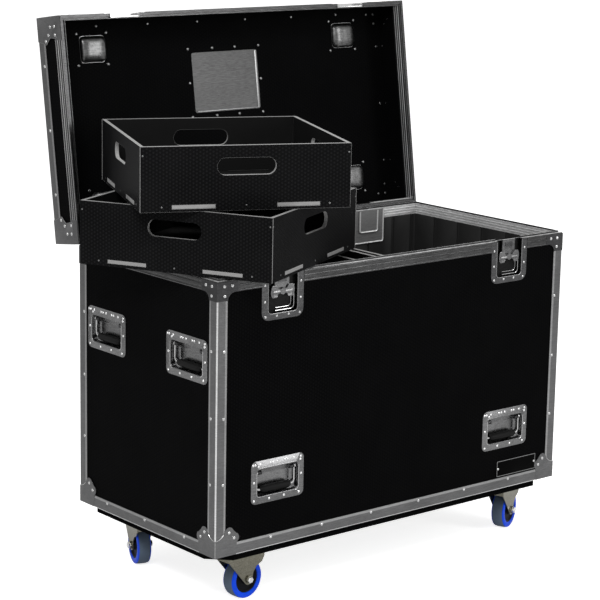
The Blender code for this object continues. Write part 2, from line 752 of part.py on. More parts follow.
def latch_wing(side, x, base):
    """Butterfly handle: two round-cornered lobes and a bar, on the spindle's axis."""
    axis = pivot(f"latch_wing_{side}_axis", front_face(x, BASE_HEIGHT - WING_DROP), base)
    lobe_w, lobe_h = WING_LOBE
    body = block("latch_wing_" + side, (-WING_REACH + lobe_w / 2, -WING_BAR / 2, -WING_FACE - WING_THICK),
                 (WING_REACH - lobe_w / 2, WING_BAR / 2, -WING_FACE))
    lobes = [prism("lobe", rounded(lobe_w, lobe_h, lobe_w / 3, (hand * (WING_REACH - lobe_w / 2), 0.0)),
                   -WING_FACE - WING_THICK, -WING_FACE) for hand in (-1, 1)]
    attach(join(body, *lobes), ZINC, axis)


def latch_hook(side, x, base):
    """Flat hook that rises behind the wing, with a tip that turns in over the keeper's bar."""
    _, hook_front, hook_back = latch_layers()
    axis = pivot(f"latch_hook_{side}_slide", front_face(x, BASE_HEIGHT), base)
    bottom = SPINDLE_RADIUS + GAP * 4 - WING_DROP
    body = block("latch_hook_" + side, (-HOOK_WIDTH / 2, bottom, -hook_back),
                 (HOOK_WIDTH / 2, HOOK_TOP, -hook_front))
    tip_wide, tip_tall, tip_deep = HOOK_TIP
    tip = block("tip", (-tip_wide / 2, HOOK_TOP - tip_tall, -hook_back - tip_deep),
                (tip_wide / 2, HOOK_TOP, -hook_back + HOOK_THICK / 2))
    attach(join(body, tip), ZINC, axis)


def latches(base):
    for side, x in LATCH_PLACES.items():
        latch_dish(side, x, base)
        latch_wing(side, x, base)
        latch_hook(side, x, base)


def hinge_dish(side, x, base):
    """Base half of a hinge: a stepped dish in the back wall, a leaf and two knuckles on a pin."""
    outer_w, outer_h = HINGE_OUTER
    inner_w, inner_h = HINGE_INNER
    top = BASE_HEIGHT
    foot = top - outer_h
    low_top = RIM_BOTTOM - 2 * GAP - SKIN
    margin = HINGE_FLANGE_MARGIN
    outer_floor = LINING_IN + HINGE_OUTER_STEP
    inner_floor = LINING_IN + HINGE_INNER_STEP
    over_rim = RIM_INNER + GAP
    half = outer_w / 2
    body = prism("hinge_dish_" + side,
                 rounded(outer_w + 2 * margin, low_top - foot + margin, margin,
                         (0.0, (low_top + foot - margin) / 2)), -SKIN, 0.0)
    shell = block("shell", (-half, foot, -outer_floor), (half, low_top, -SKIN / 2))
    panel_over_rim = block("panel_over_rim", (-half, low_top - SKIN, -outer_floor),
                           (half, top - SKIN, -over_rim))
    inner_shell = block("inner_shell", (-inner_w / 2, top - inner_h, -inner_floor),
                        (inner_w / 2, top - SKIN, -outer_floor + SKIN / 2))
    join(body, shell, panel_over_rim, inner_shell)
    cut(body, block("hollow", (-half + SKIN, foot + SKIN, -outer_floor + SKIN),
                    (half - SKIN, low_top - SKIN, CUT)),
        block("inner_hollow", (-inner_w / 2 + SKIN, top - inner_h + SKIN, -inner_floor + SKIN),
              (inner_w / 2 - SKIN, low_top - SKIN, -outer_floor + 2 * SKIN)))

    leaf_half, knuckle = LEAF_WIDTH / 2, LID_KNUCKLE / 2 + GAP
    axis_z = top + SEAM_GAP / 2
    notch = top - LEAF_NOTCH
    pieces = [block("leaf", (-leaf_half, low_top - SKIN * 2, -SKIN), (leaf_half, notch, 0.0)),
              rod("pin", PIN_RADIUS, -leaf_half + SKIN, leaf_half - SKIN, (axis_z, 0.0), steps=12)]
    for hand in (-1, 1):
        x0, x1 = sorted((hand * knuckle, hand * leaf_half))
        pieces.append(rod("knuckle", KNUCKLE_RADIUS, x0, x1, (axis_z, 0.0), steps=16))
        pieces.append(block("tab", (x0, notch - SKIN, -SKIN), (x1, top - SKIN, 0.0)))
    join(body, *pieces)
    attach(moved(body, back_face(x, 0.0)), ZINC, base, smooth=True)


def hinge_leaf(side, x, hand, lid):
    """Lid half of a hinge: leaf, middle knuckle and the closed box of its stay."""
    low = LID_RIM_TOP + GAP
    leaf_half, knuckle_half = LEAF_WIDTH / 2, LID_KNUCKLE / 2
    axis_z = BASE_HEIGHT + SEAM_GAP / 2
    stay_w, stay_deep, stay_tall = STAY_BOX
    centre = hand * STAY_SHIFT
    body = block("lid_hinge_" + side, (-leaf_half, axis_z + LEAF_NOTCH, -SKIN), (leaf_half, low + SKIN, 0.0))
    flange_half = stay_w / 2 + abs(centre) + HINGE_FLANGE_MARGIN
    flange = block("flange", (-flange_half, low, -SKIN), (flange_half, low + stay_tall - SKIN, 0.0))
    tab = block("tab", (-knuckle_half, axis_z + PIN_RADIUS + 2 * PIN_PLAY, -SKIN),
                (knuckle_half, axis_z + LEAF_NOTCH + SKIN, 0.0))
    shell = block("stay_box", (centre - stay_w / 2, low + SKIN, -BOARD_IN - stay_deep),
                  (centre + stay_w / 2, low + stay_tall - 3 * SKIN, -SKIN / 2))
    knuckle = rod("knuckle", KNUCKLE_RADIUS, -knuckle_half, knuckle_half, (axis_z, 0.0), steps=16)
    join(body, flange, tab, shell, knuckle)
    bore_half = knuckle_half + CUT
    bore = rod("bore", PIN_RADIUS + PIN_PLAY, -bore_half, bore_half, (axis_z, 0.0), steps=16)
    hollow = block("stay_hollow", (centre - stay_w / 2 + SKIN, low + 2 * SKIN, -BOARD_IN - stay_deep + SKIN),
                   (centre + stay_w / 2 - SKIN, low + stay_tall - 4 * SKIN, CUT))
    cut(body, bore, hollow)
    attach(moved(body, back_face(x, 0.0)), ZINC, lid, lid_axis_place(), smooth=True)


def lid_axis_place():
    return (0.0, CASE_DEPTH, BASE_HEIGHT + SEAM_GAP / 2)


def lid_boards(lid):
    """Top board and the ring of four low walls under it."""
    top = LID_TOP - BOARD_OUT
    board = block("lid_top_panel", (BOARD_OUT, BOARD_OUT, top - BOARD),
                  (CASE_WIDTH - BOARD_OUT, CASE_DEPTH - BOARD_OUT, top))
    holes = [moved(dish_hole(CUP_MOUTH), lid_face(x, y)) for x, y in cup_places()]
    holes.append(moved(dish_hole(LABEL_MOUTH), lid_face(CASE_WIDTH / 2, LABEL_FRONT)))
    attach(cut(board, *holes), LAMINATE, lid, lid_axis_place())

    wall_top = top - BOARD - GAP
    walls = mitred_frame("lid_walls", [(BOARD_OUT, LID_WALL_BOTTOM), (BOARD_IN, LID_WALL_BOTTOM),
                                       (BOARD_IN, wall_top), (BOARD_OUT, wall_top)],
                         (0.0, 0.0), (CASE_WIDTH, CASE_DEPTH))
    holes = []
    for x in LATCH_PLACES.values():
        half = LATCH_WIDTH / 2 - LATCH_STRIP + SKIN + GAP
        holes.append(block("keeper_hole", (x - half, -CUT, LID_WALL_BOTTOM - CUT),
                           (x + half, LATCH_DEPTH_RIM + SKIN + GAP, LID_BOTTOM + KEEPER_MOUTH + SKIN + GAP)))
    for x, hand in HINGE_PLACES.values():
        centre = x - hand * STAY_SHIFT
        half = STAY_BOX[0] / 2 + GAP
        holes.append(block("stay_hole", (centre - half, CASE_DEPTH - BOARD_IN - CUT, LID_RIM_TOP),
                           (centre + half, CASE_DEPTH + CUT, LID_RIM_TOP + STAY_BOX[2] - 2 * SKIN)))
    attach(cut(walls, *holes), LAMINATE, lid, lid_axis_place())


def cup_places():
    return [(x, y) for x in (CUP_IN_X, CASE_WIDTH - CUP_IN_X) for y in (CUP_IN_Y, CASE_DEPTH - CUP_IN_Y)]


def dish_hole(mouth):
    grow = 2 * (SKIN + GAP)
    return block("dish_hole", (-(mouth[0] + grow) / 2, -(mouth[1] + grow) / 2, -BOARD_IN - CUT),
                 ((mouth[0] + grow) / 2, (mouth[1] + grow) / 2, CUT))


def lid_rim(lid):
    """Rim extrusion of the lid, with the groove that takes the base's tongue."""
    low, top = LID_BOTTOM, LID_RIM_TOP
    groove_in = TONGUE_START - GROOVE_SIDE
    groove_out = TONGUE_START + TONGUE_WIDTH + GROOVE_SWING
    roof = low + GROOVE_DEPTH
    inner = RIM_INNER
    profile = [(0.0, low), (0.0, top), (SKIN, top), (SKIN, low + RIM_FLANGE),
               (groove_in - SKIN, low + RIM_FLANGE), (groove_in - SKIN, roof + SKIN),
               (inner - SKIN, roof + SKIN), (inner - SKIN, top), (inner, top), (inner, low),
               (groove_out, low), (groove_out, roof), (groove_in, roof), (groove_in, low)]
    rim = mitred_frame("lid_rim", profile, (0.0, 0.0), (CASE_WIDTH, CASE_DEPTH))
    notches = []
    for x in LATCH_PLACES.values():
        half = LATCH_WIDTH / 2 + GAP
        notches.append(block("keeper_strip_notch", (x - half, -CUT, low - CUT),
                             (x + half, SKIN + GAP, top + CUT)))
        half = LATCH_WIDTH / 2 - LATCH_STRIP + SKIN + GAP
        notches.append(block("keeper_notch", (x - half, -CUT, low - CUT),
                             (x + half, LATCH_DEPTH_RIM + SKIN + GAP, low + KEEPER_MOUTH + SKIN + GAP)))
    for x, _ in HINGE_PLACES.values():
        half = LEAF_WIDTH / 2 + GAP
        notches.append(block("hinge_notch", (x - half, CASE_DEPTH - LEAF_NOTCH, low - CUT),
                             (x + half, CASE_DEPTH + CUT, top + CUT)))
    attach(cut(rim, *notches), ALUMINIUM, lid, lid_axis_place())


def lid_edges(lid):
    """Edge angles round the lid's top and down its corners, with the corner caps."""
    w, d = CASE_WIDTH, CASE_DEPTH
    low, top, leg = LID_RIM_TOP + GAP, LID_TOP, LID_EDGE_LEG
    frame = block("lid_edge_frame", (0, 0, low), (w, d, top))
    cut(frame, block("inside", (SKIN, SKIN, low - CUT), (w - SKIN, d - SKIN, top - SKIN)),
        block("long_window", (leg, -CUT, low - CUT), (w - leg, d + CUT, top - leg)),
        block("end_window", (-CUT, leg, low - CUT), (w + CUT, d - leg, top - leg)),
        block("top_window", (leg, leg, top - leg), (w - leg, d - leg, top + CUT)))

    r = BRACE_FILLET / 2
    seam = LID_BOTTOM + BRACE_SEAM
    outline = [(-PROUD, top + PROUD), (-PROUD, seam), (BRACE_REACH, seam), (BRACE_REACH, LID_RIM_TOP)]
    outline += arc((leg + r, LID_RIM_TOP + r), r, 270, 180)
    outline += arc((leg + r, top - leg - r), r, 180, 90)
    outline += [(BRACE_REACH, top - leg), (BRACE_REACH, top + PROUD)]
    pad = [(0.0, low + GAP), (leg - GAP, low + GAP), (leg - GAP, top - GAP), (0.0, top - GAP)]
    reach = BRACE_REACH
    roof = [(-PROUD, -PROUD), (reach, -PROUD), (reach, leg)]
    roof += arc((leg + r, leg + r), r, 270, 180) + [(leg, reach), (-PROUD, reach)]

    def corner():
        return (*corner_plates("lid_cap", outline, GAP, PROUD),
                *corner_plates("lid_cap_pad", pad, -PLATE_BITE, PLATE_BITE),
                prism("lid_cap_roof", roof, top - PLATE_BITE, top + PROUD))

    join(frame, *mirrored_copies(corner))
    attach(frame, ALUMINIUM, lid, lid_axis_place())


def lid_dishes(lid):
    """Four wheel cups and one label dish, sunk into the lid's top."""
    names = ("front_left", "back_left", "front_right", "back_right")
    for name, (x, y) in zip(names, cup_places()):
        cup = dish("wheel_cup_" + name, (CUP_FLANGE, CUP_MOUTH, CUP_FLOOR), CUP_CORNERS, CUP_DEPTH)
        attach(moved(cup, lid_face(x, y)), ZINC, lid, lid_axis_place(), smooth=True)
    floor = (LABEL_MOUTH[0] - GAP, LABEL_MOUTH[1] - GAP)
    label = dish("label_dish", (LABEL_FLANGE, LABEL_MOUTH, floor), LABEL_CORNERS, LABEL_DEPTH)
    attach(moved(label, lid_face(CASE_WIDTH / 2, LABEL_FRONT)), ALUMINIUM, lid, lid_axis_place())


def keeper(side, x, lid):
    """Keeper dish over the lid's rim, with the bar that the hook's tip takes hold of."""
    half, r, low = LATCH_WIDTH / 2, LATCH_CORNER / 2, LID_BOTTOM
    high = low + KEEPER_TALL
    outline = [(-half, low), (half, low)]
    outline += arc((half - r, high - r), r, 0, 90) + arc((-half + r, high - r), r, 90, 180)
    body = prism("keeper_" + side, outline, -SKIN, 0.0)
    mouth, roof = half - LATCH_STRIP, low + KEEPER_MOUTH
    shell = block("shell", (-mouth - SKIN, low, -LATCH_DEPTH_RIM - SKIN), (mouth + SKIN, roof + SKIN, -SKIN / 2))
    join(body, shell)
    cut(body, block("hollow", (-mouth, low - CUT, -LATCH_DEPTH_RIM), (mouth, roof, CUT)))
    _, _, hook_back = latch_layers()
    bar_front = hook_back + HOOK_TIP[2] + GAP
    bar = block("bar", (-mouth - SKIN / 2, low + KEEPER_BAR_LOW, -LATCH_DEPTH_RIM - SKIN / 2),
                (mouth + SKIN / 2, low + KEEPER_BAR_LOW + KEEPER_BAR_TALL, -bar_front))
    join(body, bar)
    attach(moved(body, front_face(x, 0.0)), ZINC, lid, lid_axis_place())


def build_lid(base):
    open_turn = Matrix.Rotation(-LID_OPEN_ANGLE, 4, "X")
    lid = pivot("lid_hinge_axis", Matrix.Translation(lid_axis_place()) @ open_turn, base)
    lid_boards(lid)
    lid_rim(lid)
    lid_edges(lid)
    lid_dishes(lid)
    for side, x in LATCH_PLACES.items():
        keeper(side, x, lid)
    for side, (x, hand) in HINGE_PLACES.items():
        hinge_leaf(side, x, hand, lid)


def caster_plate(name, place, base):
    """Top plate with the swivel's fixed race under it."""
    width, depth, thick = TOP_PLATE
    plate = prism("caster_plate_" + name, rounded(width, depth, TOP_PLATE_CORNER, steps=2), -thick, 0.0)
    radius, tall = RACEWAY
    join(plate, rod("race", radius, -thick - tall, -thick + PLATE_BITE, (0.0, 0.0), "Z"))
    attach(moved(plate, Matrix.Translation(place)), OLIVE_ZINC, base)


def cheek_outline(fork_top, axle):
    """Side of the fork: a long hood under the swivel, drawn in to a round eye at the axle."""
    lead, trail = [[(x, fork_top - drop) for x, drop in side] for side in (FORK_LEADING, FORK_TRAILING)]
    eye = arc((TRAIL, axle), FORK_EYE, -140, 15, 8)
    return [(lead[0][0], fork_top)] + lead + eye + trail + [(trail[-1][0], fork_top)]


def fork(name, swivel):
    """Pressed fork in the swivel's frame: crown, end skirts, two cheeks and the axle bolt."""
    fork_top = -TOP_PLATE[2] - RACEWAY[1] - GAP
    axle = WHEEL_RADIUS - CASTER_HEIGHT
    inside = WHEEL_WIDTH / 2 + FORK_SIDE_PLAY
    outside = inside + FORK_SHEET
    (lead_x, lead_drop), (trail_x, trail_drop) = FORK_LEADING[0], FORK_TRAILING[-1]
    body = block("fork_" + name, (lead_x, -outside, fork_top - FORK_SHEET), (trail_x, outside, fork_top))
    skirts = [block("skirt", (x, -outside, fork_top - drop), (x + FORK_SHEET, outside, fork_top))
              for x, drop in ((lead_x, lead_drop), (trail_x - FORK_SHEET, trail_drop))]
    upright = Matrix(((1, 0, 0, 0), (0, 0, 1, 0), (0, 1, 0, 0), (0, 0, 0, 1)))
    outline = cheek_outline(fork_top, axle)
    cheeks = [moved(prism("cheek", outline, low, low + FORK_SHEET), upright) for low in (inside, -outside)]
    head_radius, head_tall = BOLT_HEAD
    bolt = rod("axle", AXLE_RADIUS, -outside - PLATE_BITE, outside + PLATE_BITE, (TRAIL, axle), "Y", 16)
    heads = [rod("bolt_head", head_radius, low, low + head_tall, (TRAIL, axle), "Y", 12)
             for low in (outside - PLATE_BITE, -outside + PLATE_BITE - head_tall)]
    join(body, *skirts, *cheeks, bolt, *heads)
    attach(body, OLIVE_ZINC, swivel, smooth=True)


def wheel(name, swivel):
    """Tyre and hub turned about the axle, with its bore."""
    axle = Matrix.Translation((TRAIL, 0.0, WHEEL_RADIUS - CASTER_HEIGHT))
    spin = pivot(f"wheel_{name}_axle", axle @ Matrix.Rotation(math.pi / 2, 4, "X"), swivel)
    half, bore = WHEEL_WIDTH / 2, AXLE_RADIUS + AXLE_PLAY
    shoulder, step = WHEEL_SHOULDER, HUB_STEP
    side = [(bore, half), (bore * 2, half), (bore * 2 + step, half - step), (HUB_RADIUS, half - step),
            (HUB_RADIUS + step, half), (WHEEL_RADIUS - shoulder, half), (WHEEL_RADIUS, half - shoulder)]
    profile = side + [(radius, -height) for radius, height in reversed(side)]
    attach(turned("wheel_" + name, profile), BLUE_TYRE, spin, smooth=True)


def casters(base):
    """Four swivel casters, each turned as it was left standing."""
    for name, turn in CASTER_TURNS.items():
        row, side = name.split("_")
        in_x, in_y = CASTERS_IN[row]
        place = (in_x if side == "left" else CASE_WIDTH - in_x,
                 in_y if row == "front" else CASE_DEPTH - in_y, -2 * GAP - CASTER_BOARD)
        caster_plate(name, place, base)
        swivel = pivot(f"caster_{name}_swivel",
                       Matrix.Translation(place) @ Matrix.Rotation(math.radians(turn), 4, "Z"), base)
        fork(name, swivel)
        wheel(name, swivel)


def dividers(base):
    """Loose boards that stand in the slots between the front and back walls."""
    inset = RIM_INNER + GAP
    for name, shift in DIVIDER_PLACES.items():
        x = CASE_WIDTH / 2 + shift
        slide = pivot(name + "_slide", Matrix.Translation((x, CASE_DEPTH / 2, FLOOR_TOP + GAP)), base)
        half = CASE_DEPTH / 2 - inset
        board = block(name, (-DIVIDER / 2, -half, 0.0),
                      (DIVIDER / 2, half, BASE_HEIGHT - DIVIDER_DROP - FLOOR_TOP - GAP))
        attach(board, PLY, slide)


def tray_walls(name, parent):
    """Four upright walls of a tray, with a hand slot and two tab slots in each."""
    half, low = TRAY_SIDE / 2, TRAY_SIDE / 2 - TRAY_BOARD
    body = mitred_frame(name, [(0.0, 0.0), (TRAY_BOARD, 0.0), (TRAY_BOARD, TRAY_HEIGHT), (0.0, TRAY_HEIGHT)],
                        (-half, -half), (half, half))
    through = half + CUT
    slot_wide, slot_tall = TRAY_SLOT
    slot_z = TRAY_HEIGHT - TRAY_SLOT_DROP
    outline = rounded(slot_wide, slot_tall, slot_tall / 2 - GAP, (0.0, slot_z), steps=8)
    upright = Matrix(((1, 0, 0, 0), (0, 0, -1, 0), (0, 1, 0, 0), (0, 0, 0, 1)))
    tools = []
    for turn in (Matrix.Identity(4), Matrix.Rotation(math.pi / 2, 4, "Z")):
        tools.append(moved(prism("hand_slot", outline, -through, through), turn @ upright))
    for turn in range(4):
        spin = Matrix.Rotation(math.pi / 2 * turn, 4, "Z")
        for side in (-1, 1):
            centre = side * TRAY_TAB_SPREAD
            reach = TRAY_TAB / 2 + GAP
            tools.append(moved(block("tab_slot", (centre - reach, low - CUT, TRAY_FLOOR_RISE - GAP),
                                     (centre + reach, through, TRAY_FLOOR_RISE + TRAY_FLOOR + GAP)), spin))
    attach(cut(body, *tools), LAMINATE, parent)


def tray_floor(name, parent):
    """Bottom board with two tabs out through each wall."""
    inner = TRAY_SIDE / 2 - TRAY_BOARD - GAP
    low, high = TRAY_FLOOR_RISE, TRAY_FLOOR_RISE + TRAY_FLOOR
    body = block(name, (-inner, -inner, low), (inner, inner, high))
    tabs = []
    for turn in range(4):
        spin = Matrix.Rotation(math.pi / 2 * turn, 4, "Z")
        for side in (-1, 1):
            centre = side * TRAY_TAB_SPREAD
            tabs.append(moved(block("tab", (centre - TRAY_TAB / 2, inner - CUT, low),
                                    (centre + TRAY_TAB / 2, TRAY_SIDE / 2, high)), spin))
    attach(join(body, *tabs), PLY, parent)


def trays(base):
    """Two like trays, the upper standing turned on the lower's walls."""
    lower_z = BASE_HEIGHT + TONGUE_HEIGHT + GAP
    upper_z = lower_z + TRAY_HEIGHT + GAP
    lower_in_case, upper_in_case = [
        Matrix.Translation((x, y, z)) @ Matrix.Rotation(math.radians(turn), 4, "Z")
        for (x, y, turn), z in ((LOWER_TRAY, lower_z), (UPPER_TRAY, upper_z))]
    lower = pivot("lower_tray_place", lower_in_case, base)
    upper = pivot("upper_tray_place", lower_in_case.inverted() @ upper_in_case, lower)
    for side, place in (("lower", lower), ("upper", upper)):
        tray_walls(f"{side}_tray_walls", place)
        tray_floor(f"{side}_tray_floor", place)


def stand_on_floor(root):
    """Move the root so that the case's box stands on the floor, centred on the world's zero."""
    bpy.context.view_layer.update()
    low, high = Vector((math.inf,) * 3), Vector((-math.inf,) * 3)
    for obj in PARTS.objects:
        if obj.type != "MESH":
            continue
        for vertex in obj.data.vertices:
            point = obj.matrix_world @ vertex.co
            low = Vector(map(min, low, point))
            high = Vector(map(max, high, point))
    root.location = (-(low.x + high.x) / 2, -(low.y + high.y) / 2, -low.z)
    bpy.context.view_layer.update()


def main():
    root = pivot("case_corner", Matrix.Identity(4), None)
    base_walls(root)
    base_rim(root)
    base_edges(root)
    caster_board(root)
    handles(root)
    latches(root)
    for side, (x, _) in HINGE_PLACES.items():
        hinge_dish(side, x, root)
    casters(root)
    dividers(root)
    build_lid(root)
    trays(root)
    stand_on_floor(root)


main()
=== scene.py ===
"""Looks of the utility trunk case: finishes, rivets, handles, latches, casters and trays.

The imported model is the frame. Case coordinates run from the base's lower front left corner, with
X right, Y back and Z up. The lid's pieces are laid out with the lid shut, then turned open.
"""

import json
import math

import bmesh
import bpy
import numpy as np
from mathutils import Matrix, Vector


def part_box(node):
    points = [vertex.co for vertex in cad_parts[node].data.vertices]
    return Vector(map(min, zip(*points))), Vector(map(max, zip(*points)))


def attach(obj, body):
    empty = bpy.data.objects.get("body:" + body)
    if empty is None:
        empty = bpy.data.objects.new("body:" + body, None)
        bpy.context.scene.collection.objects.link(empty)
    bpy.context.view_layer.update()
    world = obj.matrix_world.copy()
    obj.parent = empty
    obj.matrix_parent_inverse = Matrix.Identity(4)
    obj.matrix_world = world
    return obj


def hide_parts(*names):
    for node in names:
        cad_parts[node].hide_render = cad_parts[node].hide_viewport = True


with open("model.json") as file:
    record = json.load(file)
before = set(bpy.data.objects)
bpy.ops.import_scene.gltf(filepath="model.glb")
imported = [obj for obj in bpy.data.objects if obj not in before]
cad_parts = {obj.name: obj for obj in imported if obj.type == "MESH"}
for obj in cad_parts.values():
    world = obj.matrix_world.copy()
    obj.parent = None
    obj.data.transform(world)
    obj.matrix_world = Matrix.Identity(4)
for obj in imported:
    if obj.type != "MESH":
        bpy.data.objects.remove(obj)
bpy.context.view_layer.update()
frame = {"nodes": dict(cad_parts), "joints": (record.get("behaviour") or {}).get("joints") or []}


def joint(name):
    return next(found for found in frame["joints"] if found["name"] == name)


# Places read from the frame
RIM_LOW, RIM_HIGH = (np.array(corner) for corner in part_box("base_rim"))
CORNER = np.array((RIM_LOW[0], RIM_LOW[1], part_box("base_edge_frame")[0].z))
WIDE, DEEP = (RIM_HIGH - RIM_LOW)[:2]
HINGE = np.array(joint("lid_hinge")["pos_m"]) - CORNER
OPEN = math.radians(joint("lid_hinge")["range_deg"][1])
RIM_FOOT = RIM_LOW[2] - CORNER[2]
BASE_TOP = HINGE[2] - 0.0003
LID_FOOT = HINGE[2] + 0.0003
LID_TOP = BASE_TOP + 0.107
LID_RIM_TOP = LID_FOOT + 0.031

# Plates, legs and rivets of the case
LEG = 0.030
LID_LEG = 0.029
BRACE = 0.060
BRACE_FOOT = 0.621
CAP = 0.062
CAP_NOTCH = 0.043
PROUD = 0.0012
RIVET = 0.0043
SMALL_RIVET = 0.0033
SCREW = 0.0022
TRAY_SIDE = 0.500
TRAY_TURNS = {"lower": -63.4, "upper": -24.4}
SHEET = 0.0012
LAP = 0.001
CAP_OUT = PROUD + 0.0004
RIM_INSET = 0.0132
HINGE_HALF = 0.0253

# Rivets: how far they stand out, how far apart they are, and how far below the lid's top
RIVET_RISE = 0.0008
RIVET_PITCH = 0.1612
ROW_DROP = 0.018
LID_CAP_RIVETS = ((0.060, 0.034), (0.045, 0.048), (0.046, 0.078), (0.025, 0.058), (0.025, 0.077))

# Inner faces: of the walls, of the lid's walls, and of the lid's top
BOARD_INSIDE = 0.0109
WALL_INSIDE = 0.0106
TOP_INSIDE = 0.0117

# The bail's pin in its dish, the grip below the pin, and the wheels
PIN = (0.0, 0.021, -0.0105)
GRIP_DROP = 0.043
WHEEL_HALF = 0.0180
AXLE_HALF = 0.0262


# Frames and shapes

def facing(origin, right, up=(0.0, 0.0, 1.0)):
    """A frame on a wall: its origin, and rows for along the wall, up it and out of it."""
    right, up = np.array(right, float), np.array(up, float)
    return np.array(origin, float), np.stack((right, up, np.cross(right, up)))


def front(x, z, out=0.0):
    return facing((x, -out, z), (1, 0, 0))


def back(x, z, out=0.0):
    return facing((x, DEEP + out, z), (-1, 0, 0))


def left(y, z, out=0.0):
    return facing((-out, y, z), (0, -1, 0))


def right(y, z, out=0.0):
    return facing((WIDE + out, y, z), (0, 1, 0))


def top(x, y, out=0.0):
    return facing((x, y, LID_TOP + out), (1, 0, 0), (0, 1, 0))


def inside_top(x, y, drop):
    """A frame on the underside of the lid's top, facing into the lid."""
    return facing((x, y, LID_TOP - drop), (-1, 0, 0), (0, 1, 0))


def underneath(x, y, out=0.0):
    return facing((x, y, -out), (-1, 0, 0), (0, 1, 0))


FACES = ((front, WIDE), (back, WIDE), (left, DEEP), (right, DEEP))


def around(xs, ys, height, out, end_out=None):
    """Frames on the front and back at each x, and on both ends at each y."""
    end_out = out if end_out is None else end_out
    return ([face(x, height, out) for x in xs for face in (front, back)]
            + [face(y, height, end_out) for y in ys for face in (left, right)])


def near_corners(along):
    """The places so far from a long wall's corners, and those so far from an end's."""
    return (along, WIDE - along), (along, DEEP - along)


def inset_of(middles):
    """How far each point lies inside the case's nearest wall."""
    return np.minimum(np.minimum(middles[:, 0], WIDE - middles[:, 0]),
                      np.minimum(middles[:, 1], DEEP - middles[:, 1]))


def lay(shape, where):
    """Carry a shape from a frame's own coordinates to the case's: origin plus point times axes."""
    points, faces = shape
    origin, axes = where
    return origin + points @ axes, faces


def in_case(points):
    return points + CORNER


def in_lid(points):
    """Turn shut-lid points open: a turn by the open angle about the hinge's X line."""
    dx, dy, dz = (points - HINGE).T
    c, s = math.cos(OPEN), math.sin(OPEN)
    return np.stack((dx, c * dy + s * dz, c * dz - s * dy), 1) + HINGE + CORNER


def gather(shapes):
    """Join shapes into one: their points in a row, and faces with counted-up numbers."""
    points, faces, count = [], [], 0
    for own_points, own_faces in shapes:
        points.append(own_points)
        faces += [[corner + count for corner in face] for face in own_faces]
        count += len(own_points)
    return np.concatenate(points), faces


def skin(rows):
    """A closed body over rows (m, n, 3): each row is a ring, joined to the next by quads."""
    m, n, _ = rows.shape
    i, j = np.meshgrid(np.arange(m - 1), np.arange(n), indexing="ij")
    k = (j + 1) % n
    quads = np.stack((i * n + j, i * n + k, (i + 1) * n + k, (i + 1) * n + j), -1).reshape(-1, 4)
    ring = np.arange(n)
    return rows.reshape(-1, 3), quads.tolist() + [ring[::-1].tolist(), (ring + (m - 1) * n).tolist()]


def hoop(rows):
    """A closed band over rows (m, n, 3): like skin, but its last row joins the first."""
    m, n, _ = rows.shape
    i, j = np.meshgrid(np.arange(m), np.arange(n), indexing="ij")
    k, after = (j + 1) % n, (i + 1) % m
    quads = np.stack((i * n + j, i * n + k, after * n + k, after * n + j), -1).reshape(-1, 4)
    return rows.reshape(-1, 3), quads.tolist()


def oblong(half_x, half_y, radius, steps=6):
    """A rectangle with round corners: each corner's centre plus radius times cosine and sine."""
    quarter = np.arange(4)[:, None]
    angle = (math.pi / 2 * (quarter + np.linspace(0, 1, steps + 1))).ravel()
    sign_x = np.repeat((1, -1, -1, 1), steps + 1)
    sign_y = np.repeat((1, 1, -1, -1), steps + 1)
    return np.stack((sign_x * (half_x - radius) + radius * np.cos(angle),
                     sign_y * (half_y - radius) + radius * np.sin(angle)), 1)


def pressed(rings, steps=6):
    """A body over oblong rings given as (half x, half y, corner radius, height, middle y)."""
    rows = []
    for half_x, half_y, radius, height, middle in rings:
        flat = oblong(half_x, half_y, radius, steps)
        rows.append(np.column_stack((flat[:, 0], flat[:, 1] + middle, np.full(len(flat), height))))
    return np.stack(rows)


def plate(half_x, half_y, radius, low, high, edge=0.0006, steps=6):
    """A flat plate whose upper edge is eased by a quarter circle."""
    turn = np.linspace(0, math.pi / 2, 4)
    rings = [(half_x, half_y, radius, low, 0.0)]
    rings += [(half_x - edge * (1 - math.cos(t)), half_y - edge * (1 - math.cos(t)),
               max(radius - edge * (1 - math.cos(t)), 0.0001), high - edge * (1 - math.sin(t)), 0.0)
              for t in turn]
    return skin(pressed(rings, steps))


def spun(profile, steps):
    """Rows of a profile of radius and height pairs, carried round the third axis."""
    profile = np.array(profile, float)
    angle = np.linspace(0, 2 * math.pi, steps, endpoint=False)
    return np.stack((profile[:, :1] * np.cos(angle), profile[:, :1] * np.sin(angle),
                     np.repeat(profile[:, 1:], steps, 1)), -1)


def turned(profile, steps=24):
    """A profile turned about the frame's third axis, with its two ends filled."""
    return skin(spun(profile, steps))


def ring_of(profile, steps=48):
    """A closed profile turned about the third axis, with no ends."""
    return hoop(spun(profile, steps))


def dome(radius, height, steps=10):
    """A rivet's head: radius times cosine and height times sine over a quarter turn."""
    t = np.linspace(0, 0.46 * math.pi, 5)
    rim = [(radius, -height * 0.3), (radius, 0.0)]
    return turned(rim + list(zip(radius * np.cos(t[1:]), height * np.sin(t[1:]))), steps)


def tube(path, radius, sides=10):
    """A round bar along a path: two normals at right angles to its tangent, times the radius."""
    path = np.array(path, float)
    tangent = np.gradient(path, axis=0)
    tangent /= np.linalg.norm(tangent, axis=1, keepdims=True)
    spans = np.ptp(path, axis=0)
    across = np.eye(3)[np.argmin(spans)]
    normal = np.cross(tangent, across)
    normal /= np.linalg.norm(normal, axis=1, keepdims=True)
    other = np.cross(tangent, normal)
    angle = np.linspace(0, 2 * math.pi, sides, endpoint=False)[:, None]
    rows = path[:, None] + radius * (np.cos(angle) * normal[:, None] + np.sin(angle) * other[:, None])
    return skin(rows)


def rod(start, end, radius, sides=8):
    return tube((start, end), radius, sides)


